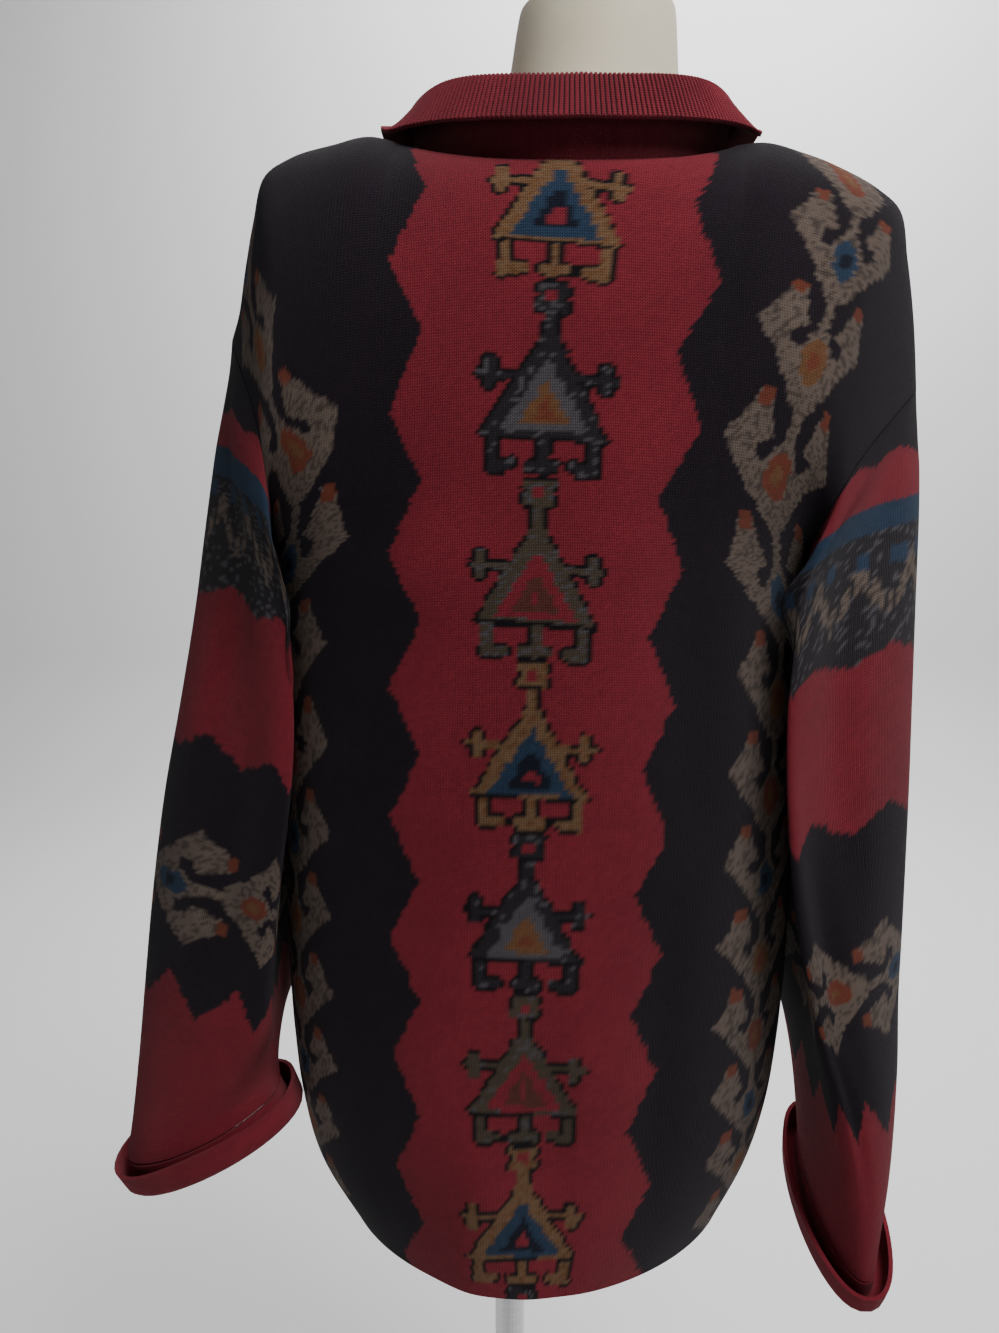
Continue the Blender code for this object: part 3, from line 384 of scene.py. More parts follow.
def body_surface(side, first_row):
    """Points of the body's outside on one side, their normals, and which are armhole."""
    across = np.linspace(0, 1, PANEL_STEPS * 4 + 1)
    points, normals, is_edge = [], [], []
    for face in (1, -1):
        half = half_panel(side, face, across)[first_row:]
        half = finer(half, (len(half) - 1) * 4 + 1, 0)
        armhole = np.zeros(half.shape[:2], bool)
        armhole[max(BODY_ROWS - 1 - first_row, 0) * 4 + 1 :, -1] = True
        points.append(half.reshape(-1, 3))
        normals.append(-face * side * normals_of(half, False).reshape(-1, 3))
        is_edge.append(armhole.ravel())
    return np.concatenate(points), np.concatenate(normals), np.concatenate(is_edge)


def nearest(points, surface, axes):
    """The number of each point's nearest place on a surface, measured along the first axes."""
    flat = surface[:, :axes]
    return np.array([
        ((row[:, None, :axes] - flat[None]) ** 2).sum(axis=-1).argmin(axis=1) for row in points
    ])


def clear_of_body(name, points, share, angle):
    """Moves points that come near the body out along its normals, by what they lack."""
    surface, facing, is_edge = body_surface(1 if name == "left" else -1, 0)
    places = nearest(points, surface, 3)
    inner = np.clip(-3 * np.cos(np.radians(angle)) - 0.8, 0, 1)
    leaving = np.clip(share / UNDERARM_FADE, 0, 1)
    wanted = SLEEVE_CLEAR * (leaving + (1 - leaving) * inner)
    wanted = (wanted + UNDERARM_CLEAR * inner * (1 - leaving)) * (share > 0)
    wanted = wanted + (CUFF_CLEAR - SLEEVE_CLEAR) * np.clip(share * 4 - 3, 0, 1)
    height = ((points - surface[places]) * facing[places]).sum(axis=-1)
    push = np.maximum(wanted - height, 0) * ~is_edge[places]
    push = push * np.clip(1 - 2 * np.cos(np.radians(angle)), 0, 1)
    return points + facing[places] * push[..., None]


def outward_sign(name):
    """The angle runs the other way round on the right sleeve, seen from the cuff."""
    return -1 if name == "left" else 1


def sleeve_grid(name):
    """The sleeve's coarse points: rows from the armhole to the cuff, columns round it."""
    share = np.linspace(0, 1, SLEEVE_ROWS)[:, None] ** SLEEVE_CROWD
    angle = np.arange(SLEEVE_COLUMNS)[None, :] * (360 / SLEEVE_COLUMNS)
    grid = ring_points(name, share, angle)
    around = np.roll(grid, -1, axis=1) - np.roll(grid, 1, axis=1)
    outward = unit(np.cross(around, np.gradient(grid, axis=0))) * outward_sign(name)
    folded = grid + outward * fold_depth(name, share, angle)[..., None]
    return clear_of_body(name, folded, *np.broadcast_arrays(share, angle))


print("sleeves:", SLEEVE_ROWS, "coarse rings of", SLEEVE_COLUMNS, "points")

# %% [markdown]
# Knit is a wall with two faces. The outer face is dense, nearly one point a stitch, so that
# each stitch can hold its own colour; the inner face is four times coarser, because nobody
# counts its stitches. A Solidify modifier would double the dense grid instead.
# %% From grids to cloth
def stitched_faces(numbers, closed):
    """Quads between neighbours of a grid of point numbers, wrapped round if it is closed."""
    right = np.roll(numbers, -1, axis=1) if closed else numbers[:, 1:]
    left = numbers if closed else numbers[:, :-1]
    return np.stack([left[:-1], right[:-1], right[1:], left[1:]], axis=-1).reshape(-1, 4)


def edge_faces(fine, coarse, turned):
    """Strips of seven-sided faces that join a fine edge to the coarse one behind it."""
    step = (len(fine) - 1) // (len(coarse) - 1)
    starts = np.arange(len(coarse) - 1)
    ring = fine[starts[:, None] * step + np.arange(step, -1, -1)]
    faces = np.concatenate([coarse[starts, None], coarse[starts + 1, None], ring], axis=1)
    return faces[:, ::-1] if turned else faces


def shaped(name, points, faces, finish):
    """A smooth-shaded mesh of points and faces in one finish."""
    mesh = bpy.data.meshes.new(name)
    mesh.from_pydata(points.reshape(-1, 3).tolist(), [], faces)
    mesh.shade_smooth()
    mesh.materials.append(finish)
    return mesh


def cloth(name, outer, inner, yarn, stitches, finish, closed=False):
    """A closed wall from its outer and inner grids, with a yarn colour at each point.

    stitches holds the wale and the course of each outer point, with one more column on a tube.
    """
    out = np.arange(outer[..., 0].size).reshape(outer.shape[:2])
    inn = out.size + np.arange(inner[..., 0].size).reshape(inner.shape[:2])
    step = (outer.shape[0] - 1) // (inner.shape[0] - 1)
    quads = stitched_faces(out, closed)
    back = stitched_faces(inn, closed)[:, ::-1]
    wrap = (lambda edge: np.append(edge, edge[0])) if closed else (lambda edge: edge)
    rims = [
        edge_faces(wrap(out[0]), wrap(inn[0]), False), edge_faces(wrap(out[-1]), wrap(inn[-1]), True),
    ]
    if not closed:
        rims += [
            edge_faces(out[:, 0], inn[:, 0], True), edge_faces(out[:, -1], inn[:, -1], False),
        ]
    faces = quads.tolist() + back.tolist()
    for rim in rims:
        faces += rim.tolist()
    points = np.concatenate([outer.reshape(-1, 3), inner.reshape(-1, 3)])
    mesh = shaped(name, points, faces, finish)
    across = outer.shape[1] // inner.shape[1] if closed else step
    if not closed:
        across = (outer.shape[1] - 1) // (inner.shape[1] - 1)
    colours = np.concatenate([yarn.reshape(-1, 3), yarn[::step, ::across].reshape(-1, 3)])
    paint = mesh.color_attributes.new(name="Yarn", type="FLOAT_COLOR", domain="POINT")
    paint.data.foreach_set("color", np.insert(colours, 3, 1.0, axis=1).ravel())
    own = stitches[:, : outer.shape[1]]
    flat = np.concatenate([own.reshape(-1, 2), own[::step, ::across].reshape(-1, 2)])
    corners = np.zeros(len(mesh.loops), int)
    mesh.loops.foreach_get("vertex_index", corners)
    places = flat[corners]
    left, right = stitches[:, :-1], stitches[:, 1:]
    dense = np.stack([left[:-1], right[:-1], right[1:], left[1:]], axis=2).reshape(-1, 2)
    places[: len(dense)] = dense
    layer = mesh.uv_layers.new(name="Stitches")
    layer.data.foreach_set("uv", places.ravel())
    mesh.set_sharp_from_angle(angle=math.radians(55))
    mesh.calc_loop_triangles()
    count, area = len(mesh.loop_triangles), sum_area(outer, closed)
    wide, high = (lengths(outer, axis).max() for axis in (1, 0))
    print(f"{name}: {count} triangles, {wide:.3f} x {high:.3f} m, {area:.4f} m2")
    return placed(name, mesh)


def sum_area(grid, closed):
    """The cloth's area: half the cross product of each quad's diagonals, added up."""
    numbers = np.arange(grid[..., 0].size).reshape(grid.shape[:2])
    a, b, c, d = (grid.reshape(-1, 3)[corner] for corner in stitched_faces(numbers, closed).T)
    return float(np.linalg.norm(np.cross(c - a, d - b), axis=1).sum() / 2)


def set_in(grid, closed, ends, sides, extra=0.0):
    """Stops a grid short of its seams by half a seam, and more by the extra of each row."""
    made = grid.copy()
    for axis, seams in ((0, ends), (1, sides)):
        for index, seam in zip((0, -1), seams):
            if not seam:
                continue
            step = 1 if index == 0 else -2
            edge = np.take(made, index, axis)
            away = unit(np.take(made, step, axis) - edge)
            back = SEAM / 2 + (extra if axis == 1 else 0.0)
            if axis == 0:
                made[index] = edge + away * back
            else:
                made[:, index] = edge + away * back
    return made


# %% [markdown]
# The yarns are a handful of soft wool shades. They are written as paint values and turned
# into light values, and the marls mix two shades stitch by stitch from a seeded table of
# chance, so that every run gives the same cloth.
# %% Yarns
def linear(red, green, blue):
    """Paint values from 0 to 255 as light values: the screen's curve undone."""
    values = np.array([red, green, blue]) / 255
    return np.where(values <= 0.04045, values / 12.92, ((values + 0.055) / 1.055) ** 2.4)


YARNS = {
    "crimson": linear(114, 32, 43),
    "aubergine": linear(25, 17, 25),
    "outline": linear(14, 9, 13),
    "taupe": linear(96, 83, 75),
    "taupe_dark": linear(70, 59, 54),
    "ochre": linear(98, 66, 42),
    "rust": linear(100, 50, 36),
    "blue": linear(34, 50, 70),
    "navy": linear(15, 18, 32),
    "tan": linear(104, 78, 56),
    "olive_grey": linear(66, 56, 46),
    "olive_brown": linear(80, 42, 36),
    "charcoal": linear(34, 30, 34),
    "grey": linear(72, 68, 72),
    "rib_red": linear(116, 36, 47),
}
SHADES = list(YARNS)
NUMBER = {name: k for k, name in enumerate(SHADES)}
WOOL = np.array([YARNS[name] for name in SHADES])
MARLED = {"taupe": "taupe_dark", "charcoal": "grey", "tan": "ochre", "olive_grey": "grey"}
MARL_CHANCE = {"taupe": 0.34, "charcoal": 0.16, "tan": 0.30, "olive_grey": 0.18}
WALE = 0.0022  # width of a stitch
COURSE = 0.0020  # height of a stitch
ROW_HEIGHT = COURSE * 0.85  # height of a stitch as the finish draws it
INNER_STEP = 4  # points of the outer face to each one of the inner face
INNER_EXTRA = 0.0022  # how much further the inner face stops short of the armhole


def spun(chart, seed):
    """Yarn colours of a chart of shades: marls change shade, and each stitch varies a little."""
    chance = np.random.default_rng(seed)
    chart = chart.copy()
    dice = chance.random(chart.shape)
    for name, other in MARLED.items():
        chart[(chart == NUMBER[name]) & (dice < MARL_CHANCE[name])] = NUMBER[other]
    tone = 1 + 0.10 * (chance.random(chart.shape) - 0.5) * 2
    drift = chance.random((chart.shape[0] // 24 + 3, chart.shape[1] // 24 + 3))
    drift = finer(finer(drift, chart.shape[0], 0), chart.shape[1], 1)
    return WOOL[chart] * (tone * (0.90 + 0.20 * drift))[..., None]


print("yarns:", ", ".join(SHADES))

# %% [markdown]
# The ornaments are old carpet figures: a triangle amulet with arms, a neck box and hooked
# feet, a chain of hooked diamonds, and stepped zigzag borders. Each is drawn here from
# straight lines in millimetres and then read at the middle of each stitch, which gives the
# stepped edges of real knitting. The hook's corners and the heights of the figures were
# measured on the photo. A picture would be simpler, but it couldn't be edited.
# %% Charts: helpers
def wave(at):
    """A zigzag line: 1 at whole numbers and -1 halfway between them."""
    return 4 * np.abs(at - np.floor(at) - 0.5) - 1


def inside(x, y, corners):
    """Which points lie in a polygon: their sideways rays cross its edges an odd number of times."""
    odd = np.zeros(np.broadcast_shapes(x.shape, y.shape), bool)
    for (ax, ay), (bx, by) in zip(corners, corners[1:] + corners[:1]):
        if ay != by:
            crosses = (ay > y) != (by > y)
            odd ^= crosses & (x < (bx - ax) * (y - ay) / (by - ay) + ax)
    return odd


def bar(x, y, left, right, bottom, top):
    """Which points lie in an upright rectangle."""
    return (x >= left) & (x <= right) & (y >= bottom) & (y <= top)


def triangle(x, y, half, bottom, top):
    """Which points lie in a triangle on a level base, its half width shrinking to the top."""
    return (y >= bottom) & (y <= top) & (np.abs(x) <= half * (top - y) / (top - bottom) + 0.5)


# %% Charts: the amulet
AMULET_PITCH = 0.1157
AMULET_SHADES = {  # frame, second, third and heart, box
    "warm": ("tan", "blue", "navy", "crimson"),
    "dark": ("charcoal", "grey", "ochre", "rust"),
    "green": ("olive_grey", "crimson", "olive_brown", "olive_brown"),
}
AMULET_ORDER = ("dark", "warm", "green", "dark", "warm", "green", "dark", "warm")


def amulet_shape(x, y):
    """The whole figure: feet, post, base, triangle, neck, box and arms, mirrored about x = 0."""
    across = np.abs(x)
    shape = triangle(x, y, 38, 22, 88)
    shape |= bar(across, y, 0, 2.6, 84, 95)
    shape |= bar(across, y, 0, 9, 96, 112) & ~bar(across, y, 7, 9, 103, 106)
    shape |= bar(across, y, 14, 35, 55.5, 59.5)
    shape |= bar(across, y, 33, 38.5, 49, 67) | bar(across, y, 38, 43, 56, 59.5)
    shape |= bar(across, y, 0, 3.6, 0, 23) | bar(across, y, 0, 10, 1, 8)
    foot = bar(across, y, 16, 33, 0, 8) & ~bar(across, y, 15, 21, 0, 2)
    shape |= bar(across, y, 27, 34.5, 1, 23) | foot
    return shape


def add_amulets(chart, x, y):
    """Draws the column of amulets into a chart, each with an outline one stitch wide."""
    for number, kind in enumerate(AMULET_ORDER):
        frame_shade, second, third, heart = AMULET_SHADES[kind]
        up = (y - (number - 1) * AMULET_PITCH) * 1000 - 13.0
        out = x * 1000
        steps = ((WALE, 0), (-WALE, 0), (0, COURSE), (0, -COURSE))
        shape = amulet_shape(out, up)
        near = np.zeros_like(shape)
        for dx, dy in steps:
            near |= amulet_shape(out + dx * 1000, up + dy * 1000)
        chart[near & ~shape] = NUMBER["outline"]
        chart[shape] = NUMBER[frame_shade]
        chart[triangle(out, up, 27, 24.5, 68)] = NUMBER[second]
        chart[triangle(out, up, 15, 29, 55)] = NUMBER[third]
        chart[triangle(out, up, 6.5, 32, 45)] = NUMBER[heart]
        if kind == "green":
            chart[triangle(out, up, 9, 33, 48) & (np.abs(out) < 1.5)] = NUMBER["crimson"]
        chart[bar(out, up, -2.3, 2.3, 101, 107)] = NUMBER["crimson"]
        chart[bar(out, up, -38, 38, 20.5, 22.4)] = NUMBER["outline"]
    return chart


# %% Charts: the hooked diamonds
HOOK_PITCH = 0.063
HOOK = [
    (0, -30), (7, -26), (26, -2), (45, 17), (36, 27), (29, 42), (20, 42), (16, 30), (10, 18),
    (21, 14), (19, 7), (9, 5), (0, 8),
]
HOOK_SHADES = (("ochre", "rust"), ("blue", "navy"), ("rust", "ochre"))


def add_hooks(chart, out, number):
    """Ovals on a line, each in a marl lozenge with a hook that turns up, on both sides of it."""
    whole = np.floor(number + 0.5)
    v = (number - whole) * HOOK_PITCH * 1000
    u = np.abs(out) * 1000
    marl = (u / 17 + np.abs(v) / 24 < 1) | (u < 3.6)
    tip = np.zeros_like(marl)
    for shift in (-1000 * HOOK_PITCH, 0.0, 1000 * HOOK_PITCH):
        marl |= inside(u, v + shift, HOOK)
        tip |= (np.abs(u - 24.5) < 4.6) & (np.abs(v + shift - 39) < 4.2)
    chart[marl] = NUMBER["taupe"]
    chart[tip] = NUMBER["rust"]
    kinds = whole.astype(int) % 3
    for kind, (shade, heart) in enumerate(HOOK_SHADES):
        chart[(kinds == kind) & ((u / 9) ** 2 + (v / 13) ** 2 < 1)] = NUMBER[shade]
        chart[(kinds == kind) & ((u / 4) ** 2 + (v / 5.5) ** 2 < 1)] = NUMBER[heart]
    return chart


# %% Charts: the body
SKEW = 0.07  # the courses drop towards the wearer's right, as the form's shoulder does
ZIGZAG_PITCH = 0.0890
ZIGZAG_START = 0.0055
CENTRE_SHIFT = ((0.0, 0.006), (0.30, 0.004), (0.573, -0.0024), (0.76, -0.014), (0.90, -0.018))
HOOK_LINES = {  # height above the hem, distance from the middle
    "left": ((0.0, 0.185), (0.50, 0.185), (0.605, 0.150), (0.69, 0.168), (0.80, 0.200)),
    "right": (
        (0.0, 0.190), (0.50, 0.190), (0.56, 0.165), (0.605, 0.155), (0.665, 0.200),
        (0.745, 0.250), (0.90, 0.310),
    ),
}
HOOK_MIDDLES = (
    0.0845, 0.1395, 0.1975, 0.2595, 0.3215, 0.3845, 0.4555, 0.5245, 0.610, 0.684, 0.751, 0.815,
)


def body_chart(across, up, with_amulets):
    """A red zigzag panel on aubergine, with amulets up its middle and hooked diamonds by the side."""
    up = np.round((up - SKEW * across) / COURSE) * COURSE
    shift = np.interp(up, *np.array(CENTRE_SHIFT).T)
    x = np.round((across - shift) / WALE) * WALE
    chart = np.full(x.shape, NUMBER["aubergine"])
    lines = [np.interp(up, *np.array(HOOK_LINES[side]).T) for side in ("left", "right")]
    line = np.where(x < 0, *lines)
    number = np.interp(up, HOOK_MIDDLES, np.arange(len(HOOK_MIDDLES)))
    number = number + np.minimum(up - HOOK_MIDDLES[0], 0) / HOOK_PITCH
    chart = add_hooks(chart, np.abs(x) - line, number)
    half = 0.0845 + 0.0107 * wave((up - ZIGZAG_START) / ZIGZAG_PITCH)
    half = half + 0.010 * np.clip((up - 0.60) / 0.17, 0, 1)
    chart[np.abs(x) < half] = NUMBER["crimson"]
    return add_amulets(chart, x, up) if with_amulets else chart


# %% Charts: the sleeves
Stripe = namedtuple("Stripe", "top shade zigzag")
SLEEVE_STRIPES = {
    "left": (
        Stripe(1.60, "aubergine", 0.0), Stripe(1.240, "crimson", 0.004),
        Stripe(1.215, "blue", 0.0), Stripe(1.196, "charcoal", 0.0),
        Stripe(1.118, "crimson", 0.006), Stripe(1.010, "aubergine", 0.009),
        Stripe(0.822, "crimson", 0.016),
    ),
    "right": (
        Stripe(1.60, "aubergine", 0.0), Stripe(1.215, "crimson", 0.004),
        Stripe(1.183, "blue", 0.0), Stripe(1.166, "charcoal", 0.0),
        Stripe(1.079, "crimson", 0.006), Stripe(0.960, "aubergine", 0.009),
        Stripe(0.738, "crimson", 0.016),
    ),
}
MEANDER_Z = {"left": (1.163,), "right": (1.124,)}
MEDALLION_Z = {"left": 0.905, "right": 0.838}
STRIPE_TILT = 0.065  # how much lower the stripes lie on the inner side, near the armhole


def sleeve_chart(name, around, height, half):
    """Stripes with zigzag edges, a broken marl meander, and a ring of hooked diamonds."""
    tilt = STRIPE_TILT * np.clip((height - 0.75) / 0.40, 0, 1)
    up = np.round((height + (1 - half) * tilt) / COURSE) * COURSE
    x = np.round(around / WALE) * WALE
    chart = np.full(x.shape, NUMBER["aubergine"])
    for stripe in SLEEVE_STRIPES[name]:
        chart[up < stripe.top + stripe.zigzag * wave(x / 0.052)] = NUMBER[stripe.shade]
    ring = (up - MEDALLION_Z[name])
    area = np.abs(ring) < 0.075
    hooks = add_hooks(np.full(x.shape, NUMBER["aubergine"]), ring, (x + 0.02) / HOOK_PITCH)
    on_ring = area & (hooks != NUMBER["aubergine"]) & (chart == NUMBER["aubergine"])
    chart[on_ring] = hooks[on_ring]
    for middle in MEANDER_Z[name]:
        off = up - middle
        thick = np.abs(off - 0.014 * wave(x / 0.036)) < 0.0085
        steps = thick & (np.abs(off) < 0.026) & (np.abs(wave(x / 0.018) + off * 30) > 0.25)
        chart[steps] = NUMBER["taupe"]
        chart[(np.abs(off - 0.023) < 0.006) & (wave(x / 0.024) > 0.2)] = NUMBER["blue"]
    return chart


print("charts: amulet pitch", AMULET_PITCH, "zigzag pitch", ZIGZAG_PITCH, "hook pitch", HOOK_PITCH)

# %% [markdown]
# Wool knit is a dull, hairy surface: rough, with a soft sheen at grazing angles, and with rows
# of small V stitches. The V is worked out from the stitch coordinates: two legs in each wale,
# each leaning towards the wale's middle. It raises the bump and darkens the hollows between
# the legs, as shadow does. A woven picture would do the same, but would blur close up.
# %% The knit finish
def calc(tree, operation, first, second=0.0, third=0.0):
    """One Math node, whose inputs are sockets or plain numbers."""
    node = tree.nodes.new("ShaderNodeMath")
    node.operation = operation
    for socket, value in zip(node.inputs, (first, second, third)):
        if isinstance(value, (int, float)):
            socket.default_value = value
        else:
            tree.links.new(value, socket)
    return node.outputs[0]


def noise(tree, where, scale, detail=3.0):
    """A cloud pattern read at a coordinate."""
    node = tree.nodes.new("ShaderNodeTexNoise")
    node.inputs["Scale"].default_value = scale
    node.inputs["Detail"].default_value = detail
    tree.links.new(where, node.inputs["Vector"])
    return node.outputs["Fac"]


def stitch_height(tree, stitches):
    """The V stitch: a leg's rounded width times its rounded length, along a leaning course."""
    split = tree.nodes.new("ShaderNodeSeparateXYZ")
    tree.links.new(stitches, split.inputs[0])
    wale, course = split.outputs[0], split.outputs[1]
    part = calc(tree, "FRACT", wale)
    side = calc(tree, "ABSOLUTE", calc(tree, "MULTIPLY_ADD", part, 2.0, -1.0))
    leg = calc(tree, "SINE", calc(tree, "MULTIPLY", side, math.pi))
    phase = calc(tree, "FRACT", calc(tree, "MULTIPLY_ADD", side, 0.7, course))
    length = calc(tree, "SINE", calc(tree, "MULTIPLY", phase, math.pi))
    length = calc(tree, "POWER", length, 0.6)
    return calc(tree, "MULTIPLY", calc(tree, "POWER", leg, 0.7), length)


def blank(name):
    """A new finish: the material, its node tree and its shader."""
    made = bpy.data.materials.new(name)
    made.use_nodes = True
    return made, made.node_tree, made.node_tree.nodes["Principled BSDF"]


def in_object(tree):
    """The place of each point in its object's own coordinates."""
    return tree.nodes.new("ShaderNodeTexCoord").outputs["Object"]


def stretched(tree, scale, turn=(0.0, 0.0, 0.0)):
    """The place of each point, scaled by axis and turned, to draw a noise out into streaks."""
    node = tree.nodes.new("ShaderNodeMapping")
    node.inputs["Scale"].default_value = scale
    node.inputs["Rotation"].default_value = turn
    tree.links.new(in_object(tree), node.inputs["Vector"])
    return node.outputs[0]


def in_stitches(tree):
    """The wale and course of each point."""
    node = tree.nodes.new("ShaderNodeUVMap")
    node.uv_map = "Stitches"
    return node.outputs[0]


def bumped(tree, shader, height, strength, distance):
    """Shades a finish as if it were raised by a height, up to a distance in metres."""
    bump = tree.nodes.new("ShaderNodeBump")
    bump.inputs["Strength"].default_value = strength
    bump.inputs["Distance"].default_value = distance
    tree.links.new(height, bump.inputs["Height"])
    tree.links.new(bump.outputs[0], shader.inputs["Normal"])


def ramped(tree, shader, value, low, high, span=(0.0, 1.0)):
    """Colours a finish between two shades, by where a value lies in a span."""
    ramp = tree.nodes.new("ShaderNodeValToRGB")
    for element, place, shade in zip(ramp.color_ramp.elements, span, (low, high)):
        element.position = place
        element.color = (*shade, 1)
    tree.links.new(value, ramp.inputs[0])
    tree.links.new(ramp.outputs[0], shader.inputs["Base Color"])


def knit(name, roughness=0.92, sheen=0.05, depth=0.0009, fuzz=0.35, shade=0.45):
    """A wool finish: yarn colour from the cloth, with painted shade in its stitch hollows, mottled by
    loose hairs.
    """
    made, tree, shader = blank(name)
    yarn = tree.nodes.new("ShaderNodeAttribute")
    yarn.attribute_name = "Yarn"
    height = stitch_height(tree, in_stitches(tree))
    hair = noise(tree, in_object(tree), 900.0, 4.0)
    cloud = noise(tree, in_object(tree), 26.0)
    # Painted shade: the stitch height darkens the base colour in the hollows between the legs.
    tone = calc(tree, "MULTIPLY_ADD", height, shade, 1.0 - shade * 0.62)
    tone = calc(tree, "MULTIPLY", tone, calc(tree, "MULTIPLY_ADD", hair, fuzz, 1.0 - fuzz / 2))
    tone = calc(tree, "MULTIPLY", tone, calc(tree, "MULTIPLY_ADD", cloud, 0.24, 0.88))
    mixed = tree.nodes.new("ShaderNodeVectorMath")
    mixed.operation = "SCALE"
    tree.links.new(yarn.outputs["Color"], mixed.inputs[0])
    tree.links.new(tone, mixed.inputs["Scale"])
    tree.links.new(mixed.outputs[0], shader.inputs["Base Color"])
    bumped(tree, shader, calc(tree, "MULTIPLY_ADD", hair, 0.35, height), 0.65, depth)
    shader.inputs["Roughness"].default_value = roughness
    shader.inputs["Sheen Weight"].default_value = sheen
    shader.inputs["Sheen Roughness"].default_value = 0.55
    shader.inputs["Specular IOR Level"].default_value = 0.08
    return made


JACQUARD = knit("Jacquard wool")
RIB_WOOL = knit("Red rib wool", shade=0.30)
print("finishes:", JACQUARD.name, "and", RIB_WOOL.name)

# %% [markdown]
# The back panel is the face of the garment. Its stitches follow the cloth: wales are counted
# sideways from the middle and courses upwards from the hem, along the surface. Soft troughs
# of uneven length run down from the shoulders and up from the hem, where the weight of the
# cloth gathers it.
# %% Panels of the body
Crease = namedtuple("Crease", "across top bottom depth width lean")
BACK_CREASES = (
    Crease(across=-0.045, top=0.16, bottom=-0.02, depth=-0.0055, width=0.022, lean=0.05),
    Crease(across=0.018, top=0.26, bottom=-0.02, depth=0.0030, width=0.018, lean=-0.04),
    Crease(across=0.085, top=0.34, bottom=0.02, depth=0.0026, width=0.020, lean=0.03),
    Crease(across=-0.105, top=0.30, bottom=0.00, depth=0.0028, width=0.019, lean=-0.06),
    Crease(across=0.120, top=0.66, bottom=0.30, depth=0.0026, width=0.026, lean=-0.10),
    Crease(across=-0.135, top=0.69, bottom=0.40, depth=0.0034, width=0.024, lean=0.16),
    Crease(across=-0.010, top=0.72, bottom=0.47, depth=0.0016, width=0.040, lean=0.02),
)
FRONT_CREASES = (
    Crease(across=0.070, top=0.62, bottom=0.22, depth=0.0028, width=0.022, lean=-0.05),
    Crease(across=0.125, top=0.33, bottom=-0.02, depth=0.0030, width=0.020, lean=0.04),
    Crease(across=-0.060, top=0.40, bottom=-0.02, depth=0.0026, width=0.018, lean=0.03),
    Crease(across=-0.115, top=0.68, bottom=0.35, depth=0.0032, width=0.026, lean=0.08),
    Crease(across=-0.150, top=0.24, bottom=0.02, depth=0.0030, width=0.018, lean=-0.04),
)


def creased(grid, across, up, creases):
    """Each crease is a bell across the cloth, faded at both its ends, and pressed in by its depth."""
    depth = np.zeros(across.shape)
    for crease in creases:
        along = np.clip((up - crease.bottom) / (crease.top - crease.bottom), 0, 1)
        apart = across - crease.across - crease.lean * (up - crease.bottom)
        depth += crease.depth * np.sin(along * math.pi) ** 0.8 * np.exp(
            -((apart / crease.width) ** 2)
        )
    return grid - normals_of(grid, False) * depth[..., None]


def panel(name, grid, middle, armholes, creases, with_amulets, seed):
    """A dense panel from its coarse rows: creased, stopped short of its seams, charted and walled."""
    up = lengths(grid, 0)
    run = lengths(grid, 1)
    across = run - run[:, middle : middle + 1]
    grid = creased(grid, across, up, creases)
    outer = set_in(grid, False, (False, True), armholes, ARMHOLE_EXTRA)
    inner = set_in(grid - normals_of(grid, False) * WALL, False, (False, True), armholes, INNER_EXTRA)
    chart = body_chart(-across, up, with_amulets)
    stitches = np.stack([across / WALE, up / ROW_HEIGHT], axis=-1)
    inner = inner[::INNER_STEP, ::INNER_STEP]
    return cloth(name, outer, inner, spun(chart, seed), stitches, JACQUARD)


PANEL_ROWS = 361
BACK_COLUMNS = 209
reach = np.linspace(0, 1, BACK_COLUMNS // 2 + 1)
right_half = half_panel(-1, 1, reach)[:, ::-1]
back_grid = np.concatenate([right_half, half_panel(1, 1, reach)[:, 1:]], axis=1)[:, ::-1]
back_grid = finer(back_grid, PANEL_ROWS, 0)
back = panel("back_panel", back_grid, BACK_COLUMNS // 2, (True, True), BACK_CREASES, True, 3)

# %% The fronts
def front_share(side):
    """How far across a front its band ends, from the front's width at the chest."""
    width = abs((BODY[4].left if side > 0 else BODY[4].right) - MIDDLE_X)
    return math.asin(BAND_HALF / width) * 2 / math.pi


def front_panel(name, side, seed):
    """One front, from its band to its side seam, counted from the garment's middle line."""
    share = front_share(side)
    reach = np.append(0.0, share + (1 - share) * np.linspace(0, 1, 97))
    grid = finer(half_panel(side, -1, reach), PANEL_ROWS, 0)
    run = lengths(grid, 1)[:, 1:]
    up = lengths(grid, 0)[:, 1:]
    grid = grid[:, 1:]
    seams = (True, True)
    if side < 0:
        grid, run, up = grid[:, ::-1], -run[:, ::-1], up[:, ::-1]
    grid = creased(grid, run, up, FRONT_CREASES)
    outer = set_in(grid, False, (False, True), seams, ARMHOLE_EXTRA / 2)
    inner = set_in(grid - normals_of(grid, False) * WALL, False, (False, True), seams, INNER_EXTRA)
    chart = body_chart(run, up, False)
    stitches = np.stack([run / WALE, up / ROW_HEIGHT], axis=-1)
    inner = inner[::INNER_STEP, ::INNER_STEP]
    return cloth(name, outer, inner, spun(chart, seed), stitches, JACQUARD)


front_left = front_panel("front_panel_left", 1, 5)
front_right = front_panel("front_panel_right", -1, 7)

